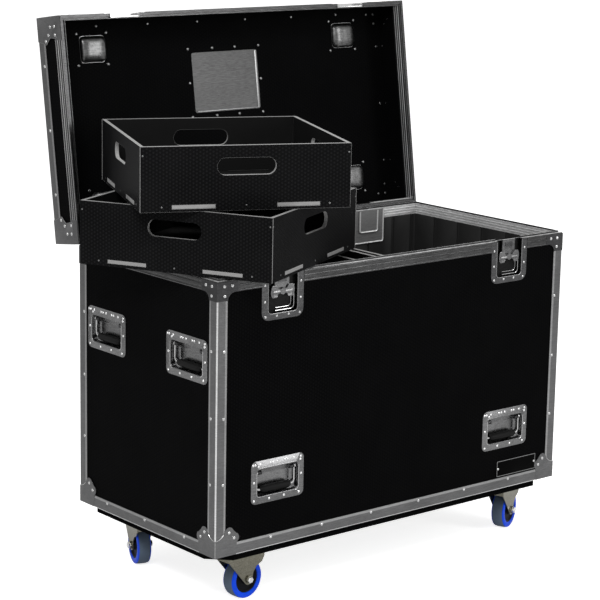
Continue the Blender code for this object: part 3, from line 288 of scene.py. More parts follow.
def side_path(half, foot, bend, heights, steps=7):
    """Down the right side, then a quarter circle: centre plus bend times cosine and minus sine."""
    turn = np.linspace(0, math.pi / 2, steps)
    curve = np.stack((half - bend + bend * np.cos(turn), foot + bend - bend * np.sin(turn)), 1)
    return np.concatenate(([(half, height) for height in heights], curve))


def u_path(half, foot, bend, heights, steps=7):
    """Down the right side, along the foot and up the left side, which mirrors the right."""
    side = side_path(half, foot, bend, heights, steps)
    return np.concatenate((side, side[::-1] * (-1, 1)))


def on_wall(path, x, depth):
    """A path of (across, up) pairs laid on a plane so deep in the case."""
    return np.column_stack((path[:, 0] + x, np.full(len(path), depth), path[:, 1]))


def strip(profile, start, end, along, out):
    """A profile of (across, out) pairs, carried straight from start to end."""
    profile = np.array(profile, float)
    along, out = np.array(along, float), np.array(out, float)
    section = profile[:, :1] * along + profile[:, 1:] * out
    return skin(np.stack((np.array(start, float) + section, np.array(end, float) + section)))


def angle_bar(start, end, leg_a, leg_b, reach, proud=0.0009):
    """An edge angle: flat legs, a round corner, and a shallow fall over the last third.

    The fall is proud times one minus the square of the way along it.
    """
    a, b = np.array(leg_a, float), np.array(leg_b, float)
    bend, fall = 0.0018, reach * 0.66
    along = np.concatenate(([bend + 0.0002], np.linspace(fall, reach - 0.0004, 6)))
    rise = np.where(along > fall, proud * (1 - ((along - fall) / (reach - fall)) ** 2), proud)
    turn = np.linspace(0, math.pi / 2, 7)[:, None]
    centre = (a + b) * bend
    round_part = centre - (a * np.sin(turn) + b * np.cos(turn)) * (bend + proud)
    leg_one = along[::-1, None] * a - rise[::-1, None] * b
    leg_two = along[:, None] * b - rise[:, None] * a
    outer = np.concatenate((leg_one, round_part, leg_two))
    tip = reach - 0.0008
    inner = np.stack((b * tip + a * 0.0005, (a + b) * 0.0006, a * tip + b * 0.0005))
    section = np.concatenate((outer, inner))
    return skin(np.stack((np.array(start, float) + section, np.array(end, float) + section)))


def bar_tints(count):
    """Finishes of so many edge angles: 1 on the two free edges, 2 on the round corner, else 0; 1 and 2 are
    painted highlights.
    """
    side = np.zeros(24, int)
    side[[0, 1, 2, 17, 18, 19]] = 1
    side[6:14] = 2
    return np.tile(np.append(side, (0, 0)), count)


def ridged(low, high, proud=0.0009):
    """A rim's profile: three broad beads with round shoulders, and grooves between them."""
    span = high - low
    beads = ((0.03, 0.15), (0.27, 0.60), (0.70, 0.97))
    profile = [(low + 0.0001, -0.0004), (low + 0.0001, 0.0002)]
    for first, last in beads:
        edge = 0.03
        for share, rise in ((first, 0.25), (first + edge, 0.9), (first + 2 * edge, 1.0),
                            (last - 2 * edge, 1.0), (last - edge, 0.9), (last, 0.25)):
            profile.append((low + span * share, proud * rise))
    return profile + [(high - 0.0001, 0.0002), (high - 0.0001, -0.0004)]


def make(name, shape, finishes, body, smooth=32.0, tints=None):
    """Put a shape in case coordinates into a mesh that rides on a body; the lid's are turned open.

    tints gives each face's finish, as its number in finishes.
    """
    points, faces = shape
    mesh = bpy.data.meshes.new(name)
    mesh.from_pydata((in_lid(points) if body == "lid" else in_case(points)).tolist(), [], faces)
    if tints is not None:
        mesh.polygons.foreach_set("material_index", np.asarray(tints, np.int32))
    bm = bmesh.new()
    bm.from_mesh(mesh)
    bmesh.ops.recalc_face_normals(bm, faces=bm.faces)
    bm.to_mesh(mesh)
    bm.free()
    return show(name, mesh, finishes, body, smooth)


def show(name, mesh, finishes, body, smooth=32.0):
    """Put a mesh in the scene with its finishes, smooth but for edges sharper than the angle."""
    for used in finishes if isinstance(finishes, list) else [finishes]:
        mesh.materials.append(used)
    mesh.shade_smooth()
    mesh.set_sharp_from_angle(angle=math.radians(smooth))
    obj = bpy.data.objects.new(name, mesh)
    bpy.context.scene.collection.objects.link(obj)
    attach(obj, body)
    return obj


def eased(node, finishes, body, width=0.0006, segments=2, choose=None, edge_finish=-1):
    """A copy of a node with merged faces and eased edges, which stands for the node.

    choose takes the faces' middles and normals as arrays and gives each face's finish.
    """
    source = frame["nodes"][node]
    bm = bmesh.new()
    bm.from_mesh(source.data)
    bmesh.ops.remove_doubles(bm, verts=bm.verts, dist=0.00002)
    bmesh.ops.dissolve_limit(bm, angle_limit=math.radians(1.0), verts=bm.verts, edges=bm.edges)
    mesh = bpy.data.meshes.new(node + "_finished")
    bm.to_mesh(mesh)
    bm.free()
    mesh.materials.clear()
    obj = show(node + "_finished", mesh, finishes, body)
    if choose:
        count = len(mesh.polygons)
        middles, normals = np.empty(count * 3), np.empty(count * 3)
        mesh.polygons.foreach_get("center", middles)
        mesh.polygons.foreach_get("normal", normals)
        chosen = choose(middles.reshape(-1, 3) - CORNER, normals.reshape(-1, 3))
        mesh.polygons.foreach_set("material_index", np.asarray(chosen, np.int32))
    bevel = obj.modifiers.new("eased edges", "BEVEL")
    bevel.width = width
    bevel.segments = segments
    bevel.limit_method = "ANGLE"
    bevel.angle_limit = math.radians(40)
    bevel.harden_normals = True
    bevel.material = edge_finish
    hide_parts(node)
    return obj


# Finishes

def add(tree, kind, settings=(), **inputs):
    """A shader node of that kind.

    An input is named by its number after an i, or by its name with underscores for the spaces.
    """
    made = tree.nodes.new("ShaderNode" + kind)
    for name, value in dict(settings).items():
        setattr(made, name, value)
    for name, value in inputs.items():
        number = name[1:]
        socket = made.inputs[int(number) if number.isdigit() else name.replace("_", " ")]
        if isinstance(value, bpy.types.NodeSocket):
            tree.links.new(value, socket)
        else:
            socket.default_value = value
    return made


def sums(tree, operation, first, second=0.0, third=0.0, clamp=False):
    """The value of one Math node."""
    made = add(tree, "Math", {"operation": operation, "use_clamp": clamp}, i0=first, i1=second, i2=third)
    return made.outputs[0]


def vectors(tree, operation, first, second=(0, 0, 0), third=(0, 0, 0)):
    made = add(tree, "VectorMath", {"operation": operation}, i0=first, i1=second, i2=third)
    return made.outputs[0]


def eased_step(tree, value, low, high):
    """A smooth step from nought at low to one at high."""
    made = add(tree, "MapRange", {"interpolation_type": "SMOOTHSTEP"}, i0=value, i1=low, i2=high)
    return made.outputs[0]


def group(name, takes, gives):
    """An empty shader group with its sockets, and its input and output nodes."""
    tree = bpy.data.node_groups.new(name, "ShaderNodeTree")
    for socket, kind, value in takes:
        made = tree.interface.new_socket(socket, in_out="INPUT", socket_type="NodeSocket" + kind)
        if value is not None:
            made.default_value = value
    for socket, kind in gives:
        tree.interface.new_socket(socket, in_out="OUTPUT", socket_type="NodeSocket" + kind)
    return tree, tree.nodes.new("NodeGroupInput").outputs, tree.nodes.new("NodeGroupOutput").inputs


def hexagon_group():
    """Pressed hexagons: how deep a point lies in the nearest cell of a honeycomb.

    The face's two in-plane coordinates are wrapped on two rectangular lattices, half a cell apart;
    a cell's depth is the larger of |y| and |y| / 2 + 0.866 |x|, and the lower of the two counts.
    """
    tree, taken, given = group("pressed hexagons", [("Place", "Vector", None), ("Facing", "Vector", None),
                               ("Cell", "Float", 0.009)], [("Island", "Float"), ("Cell Shade", "Float")])
    place = add(tree, "SeparateXYZ", i0=taken["Place"]).outputs
    facing_way = add(tree, "SeparateXYZ", i0=vectors(tree, "ABSOLUTE", taken["Facing"])).outputs
    end_on = sums(tree, "GREATER_THAN", facing_way[0], 0.7)
    flat = sums(tree, "GREATER_THAN", facing_way[2], 0.7)
    across = add(tree, "Mix", {"data_type": "FLOAT"}, i0=end_on, i2=place[0], i3=place[1]).outputs[0]
    upward = add(tree, "Mix", {"data_type": "FLOAT"}, i0=flat, i2=place[2], i3=place[1]).outputs[0]
    scaled = add(tree, "CombineXYZ", i0=sums(tree, "DIVIDE", across, taken["Cell"]),
                 i1=sums(tree, "DIVIDE", upward, taken["Cell"])).outputs[0]
    half = (0.8660254, 0.5, 0.5)
    depths = []
    for shift in ((0, 0, 0), half):
        moved = vectors(tree, "ADD", scaled, shift)
        cell = vectors(tree, "WRAP", moved, half, tuple(-size for size in half))
        inside = add(tree, "SeparateXYZ", i0=vectors(tree, "ABSOLUTE", cell)).outputs
        slant = sums(tree, "MULTIPLY_ADD", inside[0], 0.8660254, sums(tree, "MULTIPLY", inside[1], 0.5))
        depths.append(sums(tree, "MAXIMUM", slant, inside[1]))
    depth = sums(tree, "MINIMUM", *depths)
    tree.links.new(eased_step(tree, depth, 0.46, 0.34), given["Island"])
    tree.links.new(eased_step(tree, depth, 0.40, 0.05), given["Cell Shade"])
    return tree


def grain_group():
    """Speckle, broad clouding and fine rubbed lines along each axis, for metal and board."""
    tree, taken, given = group("grain", [("Place", "Vector", None), ("Speckle Size", "Float", 420.0)],
                               [("Speckle", "Float"), ("Cloud", "Float"), ("Rub", "Float")])
    speckle = add(tree, "TexNoise", i0=taken["Place"], Scale=taken["Speckle Size"], Detail=3.0, Roughness=0.7)
    cloud = add(tree, "TexNoise", i0=taken["Place"], Scale=9.0, Detail=4.0, Roughness=0.55)
    stretched = vectors(tree, "MULTIPLY", taken["Place"], (60.0, 60.0, 900.0))
    rub = add(tree, "TexNoise", i0=stretched, Scale=1.0, Detail=2.0)
    tree.links.new(speckle.outputs[0], given["Speckle"])
    tree.links.new(cloud.outputs[0], given["Cloud"])
    tree.links.new(rub.outputs[0], given["Rub"])
    return tree


HEXAGONS, GRAIN = hexagon_group(), grain_group()


def finish(name, colour, roughness, metallic=0.0, speckle=300.0, **constants):
    """A material with its Principled node, its object coordinates and its grain."""
    material = bpy.data.materials.new(name)
    material.use_nodes = True
    tree = material.node_tree
    shader = tree.nodes["Principled BSDF"]
    constants.update(Base_Color=(*colour, 1.0), Roughness=roughness, Metallic=metallic)
    for socket, value in constants.items():
        shader.inputs[socket.replace("_", " ")].default_value = value
    place = add(tree, "TexCoord").outputs["Object"]
    grain = add(tree, "Group", {"node_tree": GRAIN}, Place=place, Speckle_Size=speckle).outputs
    return material, tree, shader, place, grain


def coloured(tree, shader, factor, low, high):
    """Give the shader a colour between two colours."""
    made = add(tree, "Mix", {"data_type": "RGBA"}, i0=factor, i6=(*low, 1.0), i7=(*high, 1.0))
    tree.links.new(made.outputs[2], shader.inputs["Base Color"])


def roughened(tree, shader, grain, spread, least):
    """Give the shader a roughness: the speckle times the spread, plus the least."""
    tree.links.new(sums(tree, "MULTIPLY_ADD", grain["Speckle"], spread, least), shader.inputs["Roughness"])


def blend(tree, first, share, second, other):
    """One value times its share, plus another times its own."""
    return sums(tree, "MULTIPLY_ADD", first, share, sums(tree, "MULTIPLY", second, other))


def bumped(tree, shader, height, strength, distance):
    made = add(tree, "Bump", Strength=strength, Distance=distance, Height=height)
    tree.links.new(made.outputs[0], shader.inputs["Normal"])


def grey(level, blue=0.0):
    """A grey of that level, with so much more blue."""
    return level, level, level + blue


def laminate(name, turn_axis=(0.0, 0.0, 1.0), turn=0.0, low=grey(0.0012, 0.0001), high=grey(0.0038, 0.0002),
             gloss=0.006):
    """Black laminate pressed with hexagons; its pattern lies square to the turned board."""
    material, tree, shader, place, grain = finish(name, high, 0.42, 0.0, 260.0, Specular_IOR_Level=gloss)
    facing_way = add(tree, "NewGeometry").outputs["Normal"]
    level = [add(tree, "VectorRotate", {"rotation_type": "AXIS_ANGLE"}, Vector=socket, Axis=turn_axis,
                 Angle=turn).outputs[0] for socket in (place, facing_way)]
    cells = add(tree, "Group", {"node_tree": HEXAGONS}, Place=level[0], Facing=level[1]).outputs
    coloured(tree, shader, blend(tree, grain["Cloud"], 0.5, cells["Cell Shade"], 0.6), low, high)
    roughened(tree, shader, grain, 0.14, 0.34)
    bumped(tree, shader, sums(tree, "MULTIPLY_ADD", grain["Speckle"], 0.15, cells["Island"]), 0.55, 0.0004)
    return material


def board(name, low, high, roughness=0.7, gloss=0.04):
    """Dull board or paint, clouded and speckled between two colours."""
    material, tree, shader, _, grain = finish(name, high, roughness, Specular_IOR_Level=gloss)
    coloured(tree, shader, blend(tree, grain["Cloud"], 0.7, grain["Speckle"], 0.3), low, high)
    roughened(tree, shader, grain, 0.2, roughness - 0.1)
    bumped(tree, shader, grain["Speckle"], 0.25, 0.0003)
    return material


def metal(name, low, high, roughness, speckle=420.0, bump=0.12, rubbed=0.4, metallic=1.0):
    """Metal with speckle, clouding and rubbed lines in its colour and its roughness."""
    material, tree, shader, _, grain = finish(name, high, roughness, metallic, speckle)
    mottle = blend(tree, grain["Cloud"], 0.35, grain["Speckle"], 0.45)
    tone = sums(tree, "MULTIPLY_ADD", grain["Rub"], rubbed, mottle)
    tone = sums(tree, "MULTIPLY", tone, 1.0 / (0.8 + rubbed), clamp=True)
    coloured(tree, shader, eased_step(tree, tone, 0.3, 0.7), low, high)
    roughened(tree, shader, grain, 0.16, roughness - 0.08)
    bumped(tree, shader, grain["Speckle"], bump, 0.0002)
    return material


def layered_ply(name):
    """Bare ply edge: pale, with darker plies and a little grain."""
    material, tree, shader, place, grain = finish(name, (0.32, 0.31, 0.30), 0.6, 0.0, 500.0,
                                                  Specular_IOR_Level=0.3)
    layers = add(tree, "TexWave", {"wave_type": "BANDS", "bands_direction": "Z"}, Vector=place, Scale=95.0,
                 Distortion=1.5, Detail=2.0).outputs["Fac"]
    coloured(tree, shader, blend(tree, layers, 0.35, grain["Speckle"], 0.65), (0.15, 0.149, 0.148),
             (0.31, 0.308, 0.305))
    bumped(tree, shader, grain["Speckle"], 0.3, 0.0003)
    return material


def tyre_finish():
    """Vivid blue for the tyre's sides and shoulders, a little clouded."""
    material, tree, shader, _, grain = finish("blue_tyre_side", (0.004, 0.05, 0.62), 0.32, 0.0, 350.0,
                                              Specular_IOR_Level=0.12)
    coloured(tree, shader, grain["Cloud"], (0.001, 0.030, 0.42), (0.004, 0.090, 0.95))
    bumped(tree, shader, grain["Speckle"], 0.15, 0.0003)
    return material


def plain_rubber(name, low, high, roughness, gloss):
    """Rubber or plastic, clouded between two colours."""
    material, tree, shader, _, grain = finish(name, high, roughness, 0.0, 600.0, Specular_IOR_Level=gloss)
    coloured(tree, shader, grain["Cloud"], low, high)
    roughened(tree, shader, grain, 0.2, roughness - 0.1)
    bumped(tree, shader, grain["Speckle"], 0.3, 0.0003)
    return material


X_AXIS, Z_AXIS = (1.0, 0.0, 0.0), (0.0, 0.0, 1.0)
LAMINATE = laminate("black_hexagon_laminate")
LID_LAMINATE = laminate("lid_hexagon_laminate", X_AXIS, OPEN)
TRAY_LAMINATES = {side: laminate(side + "_tray_laminate", Z_AXIS, -math.radians(turn),
                                 grey(0.0014, 0.0001), grey(0.0112, 0.0005), 0.02)
                  for side, turn in TRAY_TURNS.items()}
LINING = board("dark_lining_board", grey(0.0012), grey(0.0032, 0.0001), 0.7, 0.005)
INSIDE = board("inside_lining_board", grey(0.009), grey(0.024), 0.55, 0.08)
TRAY_LINING = board("tray_inside_board", grey(0.0045), grey(0.0105), 0.6, 0.03)
PLY = layered_ply("bare_ply_edge_layers")
ALUMINIUM = metal("rolled_aluminium", grey(0.085, 0.001), grey(0.165, 0.002), 0.36, 520.0)
# Painted highlight: a lighter copy of the aluminium for eased edges, the angles' free edges, cup edges and
# thin lines where light catches them.
EDGE_HIGHLIGHT = metal("painted_highlight_edge_aluminium", grey(0.20), grey(0.34, 0.002), 0.32, 520.0)
# Painted highlight: a much lighter copy of the aluminium for the angles' round corners and for bright beads
# along edges.
CORNER_HIGHLIGHT = metal("painted_highlight_corner_aluminium", grey(0.45), grey(0.75), 0.3, 520.0, 0.05)
HANDLE_STEEL = metal("handle_dish_steel", grey(0.085, 0.001), grey(0.22, 0.002), 0.27, 300.0, 0.1)
# Painted highlight: light bands on the base rim's inner legs and the hinge dish's steps, drawn as bright
# beads.
RIM_BEAD_HIGHLIGHT = metal("rim_inner_beads", grey(0.55), grey(0.90), 0.3, 400.0, 0.05, 0.8, 0.4)
BRIGHT_RIM = metal("rim_aluminium", grey(0.032), grey(0.100, 0.001), 0.28, 600.0, 0.06, 0.8)
LID_RIM = metal("lid_rim_aluminium", grey(0.030), grey(0.085, 0.001), 0.32, 600.0, 0.06, 0.9)
# Painted highlight: a lighter copy of the rim metal for the base rim's inner legs and tops, where the key
# light falls.
RIM_INSIDE_LIT = metal("rim_inner_leg_painted_highlight", grey(0.28), grey(0.72, 0.002), 0.38, 300.0, 0.06, 1.2, 0.25)
BRACE_METAL = metal("dull_brace_steel", grey(0.026, 0.001), grey(0.080, 0.002), 0.34, 420.0, 0.2)
STEEL = metal("zinc_plated_steel", grey(0.045, 0.001), grey(0.13, 0.002), 0.27, 300.0, 0.1)
DARK_STEEL = metal("shaded_recess_steel", grey(0.006), grey(0.020), 0.4, 300.0, 0.1)
HINGE_STEEL = metal("hinge_back_steel", grey(0.11), grey(0.20), 0.42, 300.0, 0.1, 0.6, 0.3)
# Polished steel of the bails, keepers and plate nuts; also used for painted highlight lines: mouth beads,
# latch recess lines and wing bars.
BRIGHT = metal("bright_wire_and_highlight_lines", grey(0.38), grey(0.62), 0.16, 300.0, 0.04)
RIVETS = metal("rivet_heads", grey(0.38), grey(0.66), 0.2, 700.0, 0.05)
# Painted highlight: a lighter copy of the rivet metal, for the handle rivets and the axle nuts.
HIGHLIGHT_RIVETS = metal("painted_highlight_rivet_heads", grey(0.60), grey(0.92), 0.22, 700.0, 0.05)
DULL_RIVETS = metal("dull_rivet_ends", grey(0.10), grey(0.26), 0.3, 700.0, 0.05)
LABEL_METAL = metal("label_dish_back", grey(0.048), grey(0.092), 0.42, 260.0, 0.1, 1.2)
CUP_METAL = metal("cup_back_steel", grey(0.05), grey(0.19), 0.30, 60.0, 0.3)
OLIVE = metal("olive_zinc_steel", (0.115, 0.110, 0.086), (0.25, 0.24, 0.195), 0.3, 260.0, 0.12)
RUBBER = plain_rubber("black_grip_rubber", grey(0.003), grey(0.007), 0.5, 0.08)
HUB = plain_rubber("black_hub_plastic", grey(0.003, 0.001), grey(0.010, 0.002), 0.4, 0.05)
TREAD = plain_rubber("worn_tread", (0.055, 0.078, 0.115), (0.12, 0.155, 0.21), 0.55, 0.1)
TYRE = tyre_finish()
NAME_BLACK = plain_rubber("name_plate_black", grey(0.001), grey(0.003), 0.3, 0.01)
NAME_BORDER = board("name_plate_border", grey(0.16), grey(0.24), 0.5)


# Boards

def dress_boards():
    """Laminate outside the walls and lining inside; dull boards below, bare ply on the dividers."""
    for node in ("front_panel", "back_panel", "left_panel", "right_panel"):
        eased(node, [LAMINATE, INSIDE], "base", 0.0004, 1,
              choose=lambda middles, normals: inset_of(middles) > BOARD_INSIDE)
    for used, nodes in ((LID_LAMINATE, ("lid_top_panel", "lid_walls")),
                        (LINING, ("floor_panel", "caster_board"))):
        for node in nodes:
            frame["nodes"][node].data.materials[0] = used
    for name in ("divider_centre", "divider_beside", "divider_left"):
        eased(name, [TRAY_LINING, PLY], name, 0.0008,
              choose=lambda middles, normals: np.abs(normals[:, 0]) < 0.7)


# Edge angles, rims, braces and their rivets

ENDS = ((0.0, (1, 0, 0)), (WIDE, (-1, 0, 0)))
LONG_SIDES = ((0.0, (0, 1, 0)), (DEEP, (0, -1, 0)))


def level_bars(margin, z, inward, leg):
    """Edge angles along the four level edges of that height, with a margin at each corner."""
    bars = [angle_bar((margin, y, z), (WIDE - margin, y, z), inward, b, leg) for y, b in LONG_SIDES]
    return bars + [angle_bar((x, margin, z), (x, DEEP - margin, z), inward, a, leg) for x, a in ENDS]


def edge_frame():
    """The base's edge frame: dull upper braces, brighter angles with a shallow fall at their edges, and
    painted highlights on its eased edges and on the angles' free edges and round corners.
    """
    eased("base_edge_frame", [ALUMINIUM, BRACE_METAL, EDGE_HIGHLIGHT], "base", 0.0009,
          choose=lambda middles, normals: middles[:, 2] > BRACE_FOOT - 0.0005, edge_finish=2)
    bars = [angle_bar((x, y, CAP_NOTCH - LAP), (x, y, BRACE_FOOT + 0.0004), a, b, LEG)
            for x, a in ENDS for y, b in LONG_SIDES]
    bars += level_bars(CAP - LAP, 0, (0, 0, 1), LEG)
    make("base_angle_faces", gather(bars), [ALUMINIUM, EDGE_HIGHLIGHT, CORNER_HIGHLIGHT], "base",
         tints=bar_tints(len(bars)))
    cap_arcs()


def cap_arcs():
    """A bead painted as a highlight in each bottom cap's notch, an arc of the leg's radius, and one down its
    edge.
    """
    turn = np.radians(np.linspace(-88, -37, 9))
    along, up = LEG * np.cos(turn), CAP_NOTCH + LEG + LEG * np.sin(turn)
    beads = []
    for face, length in FACES:
        for reach in (along, length - along):
            beads.append(tube([face(spot, height, PROUD)[0] for spot, height in zip(reach, up)], 0.0007, 6))
    for x, _ in ENDS:
        for y, _ in LONG_SIDES:
            spot = (x + math.copysign(0.0004, x - 0.1), y + math.copysign(0.0004, y - 0.1))
            beads.append(rod((*spot, 0.0010), (*spot, CAP_NOTCH - 0.0010), 0.0009))
    make("cap_notch_beads", gather(beads), CORNER_HIGHLIGHT, "base")


def runs(length, gaps, margin):
    """The stretches of a side that its gaps leave, between the two corner plates."""
    marks = [margin] + [mark for gap in sorted(gaps) for mark in gap] + [length - margin]
    return list(zip(marks[::2], marks[1::2]))


def latch_gaps():
    lows_highs = [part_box(f"latch_dish_{side}") for side in ("left", "right")]
    return [(low.x - CORNER[0] - 0.0004, high.x - CORNER[0] + 0.0004) for low, high in lows_highs]


def hinge_gaps():
    middles = [(low.x + high.x) / 2 - CORNER[0] for low, high in (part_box(f"hinge_dish_{side}")
                                                                  for side in ("left", "right"))]
    return [(middle - HINGE_HALF, middle + HINGE_HALF) for middle in middles]


def rim_faces(low, high):
    """Ridged faces of a rim: on its long sides, broken at the latches and hinges, and on its ends."""
    profile = ridged(low, high)
    up = (0, 0, 1)
    shapes = [strip(profile, (x0, y, 0), (x1, y, 0), up, (0, -out, 0))
              for y, out, gaps in ((0, 1, latch_gaps()), (DEEP, -1, hinge_gaps()))
              for x0, x1 in runs(WIDE, gaps, BRACE)]
    ends = [strip(profile, (x, BRACE, 0), (x, DEEP - BRACE, 0), up, (-inward[0], 0, 0)) for x, inward in ENDS]
    return gather(shapes), gather(ends)


def rims():
    """Both rims, their ridged faces and the beads on them. The base rim's inner legs and tops get a lighter
    copy of its metal as painted highlight; the lid rim's eased edges and all the beads are painted
    highlights.
    """
    # Inner legs and tops in the lighter copy: painted highlight.
    eased("base_rim", [BRIGHT_RIM, RIM_INSIDE_LIT], "base", 0.0005,
          choose=lambda middles, normals: (inset_of(middles) > 0.0100) | (normals[:, 2] > 0.7))
    eased("lid_rim", [LID_RIM, ALUMINIUM, EDGE_HIGHLIGHT], "lid", 0.0006,
          choose=lambda middles, normals: np.abs(normals[:, 0]) > 0.9, edge_finish=2)
    lengths, ends = rim_faces(LID_FOOT, LID_RIM_TOP)
    beads = [rod((x, BRACE, z), (x, DEEP - BRACE, z), 0.0008) for x in (-0.0005, WIDE + 0.0005)
             for z in np.linspace(LID_FOOT + 0.0025, LID_RIM_TOP - 0.0025, 4)]
    for name, shape, used in (("base_rim_ridges", gather(rim_faces(RIM_FOOT, BASE_TOP)), BRIGHT_RIM),
                              ("lid_rim_ridges", lengths, LID_RIM), ("lid_rim_end_ridges", ends, LID_RIM),
                              ("lid_rim_end_beads", gather(beads), CORNER_HIGHLIGHT),
                              ("base_rim_inner_beads", inner_beads(RIM_FOOT, BASE_TOP), RIM_BEAD_HIGHLIGHT),
                              ("lid_rim_inner_beads", inner_beads(LID_FOOT, LID_RIM_TOP), CORNER_HIGHLIGHT)):
        make(name, shape, used, name.split("_")[0])


def inner_beads(low, high):
    """Long beads on a rim's inner legs, painted as light bands: three straight rods a quarter of the height
    apart.
    """
    near, far, beads = RIM_INSET, DEEP - RIM_INSET, []
    for z in low + (high - low) * np.array((0.25, 0.5, 0.75)):
        beads += [rod((x, near, z), (x, far, z), 0.0010) for x in (RIM_INSET, WIDE - RIM_INSET)]
        beads += [rod((x0, far, z), (x1, far, z), 0.0010)
                  for x0, x1 in runs(WIDE, [(a - 0.02, b + 0.02) for a, b in hinge_gaps()], RIM_INSET)]
    return gather(beads)


def heads(name, places, radius, height, used, body):
    """One rivet head at each frame, all in one mesh."""
    one = dome(radius, height)
    make(name, gather([lay(one, where) for where in places]), used, body)


def base_rivets():
    """Rows along the edge angles, three on each brace face, two on each cap face."""
    xs, ys, places = 0.1683 + RIVET_PITCH * np.arange(6), (0.122, 0.285, 0.447), []
    for z in (0.178, 0.339, 0.501):
        places += around(*near_corners(0.021), z, RIVET_RISE)
    places += around(xs, ys, 0.0225, RIVET_RISE)
    places += [underneath(x, y, RIVET_RISE) for x in xs for y in (0.021, DEEP - 0.021)]
    for along, z in ((0.020, 0.656), (0.043, 0.656), (0.021, 0.633), (0.041, 0.057), (0.056, 0.042)):
        places += around(*near_corners(along), z, PROUD)
    heads("base_rivets", places, RIVET, 0.0017, RIVETS, "base")


def round_end(centre, radius, first, last, steps=6):
    """Points on an arc: centre plus radius times cosine and sine, from one angle to the other."""
    turn = np.radians(np.linspace(first, last, steps))
    return np.stack((centre[0] + radius * np.cos(turn), centre[1] + radius * np.sin(turn)), 1)


def lid_caps():
    """Corner caps of the lid: plates with lobes round their outer rivets, and a bead on the edge painted as a
    highlight.

    The outline runs along the lid's top, round the three outer rivets and back along the rim.
    """
    lobe = 0.0085
    outline = np.concatenate(([(0.0105, -0.0010), (0.058, -0.0010)], round_end((0.060, 0.034), lobe, -50, 70),
                              round_end((0.0455, 0.0495), lobe, 20, 40, 3),
                              round_end((0.046, 0.078), lobe, -20, 88), [(0.0, 0.0865), (-0.0010, 0.0855)],
                              round_end((0.0105, 0.0105), 0.0115, 180, 262, 5)))
    along, drops = outline.T
    plates, beads = [], []
    for face, length in FACES:
        for reach in (along, length - along):
            rows = np.stack([[face(spot, LID_TOP - drop, out)[0] for spot, drop in zip(reach, drops)]
                             for out in (-0.0002, CAP_OUT - 0.0003, CAP_OUT)])
            middle = rows[2].mean(0)
            rows[2] = middle + (rows[2] - middle) * 0.985
            plates.append(skin(rows))
            beads.append(tube(rows[1][1:16], 0.0006, 6))
    make("lid_cap_plates", gather(plates), ALUMINIUM, "lid")
    make("lid_cap_beads", gather(beads), EDGE_HIGHLIGHT, "lid")


LID_ROWS = 0.168 + RIVET_PITCH * np.arange(6), (0.121, 0.282, 0.444)


def lid_frame():
    """The lid's edge angles, corner caps and rows of rivets; painted highlights on the eased edges, the free
    edges, the round corners and the caps' beads.
    """
    eased("lid_edge_frame", [ALUMINIUM, EDGE_HIGHLIGHT], "lid", 0.0009,
          choose=lambda middles, normals: np.zeros(len(middles)), edge_finish=1)
    bars = level_bars(BRACE - LAP, LID_TOP, (0, 0, -1), LID_LEG)
    make("lid_angle_faces", gather(bars), [ALUMINIUM, EDGE_HIGHLIGHT, CORNER_HIGHLIGHT], "lid",
         tints=bar_tints(len(bars)))
    lid_caps()

    places = around(*LID_ROWS, LID_TOP - ROW_DROP, RIVET_RISE)
    places += [top(x, y, RIVET_RISE) for x in LID_ROWS[0] for y in (0.022, DEEP - 0.022)]
    places += [top(x, y, RIVET_RISE) for x in (0.021, WIDE - 0.021) for y in LID_ROWS[1]]
    for along, drop in LID_CAP_RIVETS:
        places += around(*near_corners(along), LID_TOP - drop, CAP_OUT)
    places += [top(x, y, PROUD) for x in (0.020, WIDE - 0.020) for y in (0.020, DEEP - 0.020)]
    heads("lid_rivets", places, RIVET, 0.0017, RIVETS, "lid")


def lid_inside_rivets():
    """Rivet ends inside the lid: round its top and inside each corner, then on its walls."""
    xs, ys = LID_ROWS
    spots = [(x, y) for x in xs for y in (0.026, DEEP - 0.026)]
    spots += [(x, y) for x in (0.026, WIDE - 0.026) for y in ys]
    spots += [(x, y) for x in (0.030, WIDE - 0.030) for y in (0.030, 0.056, DEEP - 0.030, DEEP - 0.056)]
    spots += [(x, y) for x in (0.056, WIDE - 0.056) for y in (0.030, DEEP - 0.030)]
    places = [inside_top(x, y, TOP_INSIDE) for x, y in spots]
    heads("lid_rivet_ends", places, 0.0038, 0.0014, DULL_RIVETS, "lid")
    through = (WALL_INSIDE - DEEP, WALL_INSIDE - WIDE)
    places = around(xs, ys, LID_TOP - ROW_DROP, *through)
    for along, drop in LID_CAP_RIVETS[:3]:
        places += around(*near_corners(along), LID_TOP - drop, *through)
    heads("lid_wall_rivet_ends", places, 0.0038, 0.0014, RIVETS, "lid")


# Dishes of the lid

def cup_shape():
    """A wheel cup: flat flange, straight walls through the board, and a domed floor below it."""
    shown = ((0.0525, 0.0475, 0.008, -SHEET), (0.0525, 0.0475, 0.008, -0.0002),
             (0.052, 0.047, 0.0076, 0.0002), (0.0392, 0.0347, 0.0104, 0.0002),
             (0.0377, 0.0332, 0.01, -0.0008), (0.0373, 0.0328, 0.0098, -0.01),
             (0.0366, 0.0321, 0.011, -0.015), (0.0345, 0.03, 0.015, -0.0195),
             (0.029, 0.0245, 0.016, -0.0228), (0.017, 0.014, 0.01, -0.0238))
    behind = ((0.017, 0.014, 0.01, -0.0251), (0.03, 0.0255, 0.0165, -0.024),
              (0.0357, 0.0312, 0.0155, -0.0203), (0.0379, 0.0334, 0.0115, -0.0155),
              (0.0385, 0.034, 0.01, -0.01), (0.0386, 0.0341, 0.01, -SHEET))
    return closed_dish([(*ring, 0.0) for ring in shown], [(*ring, 0.0) for ring in behind])


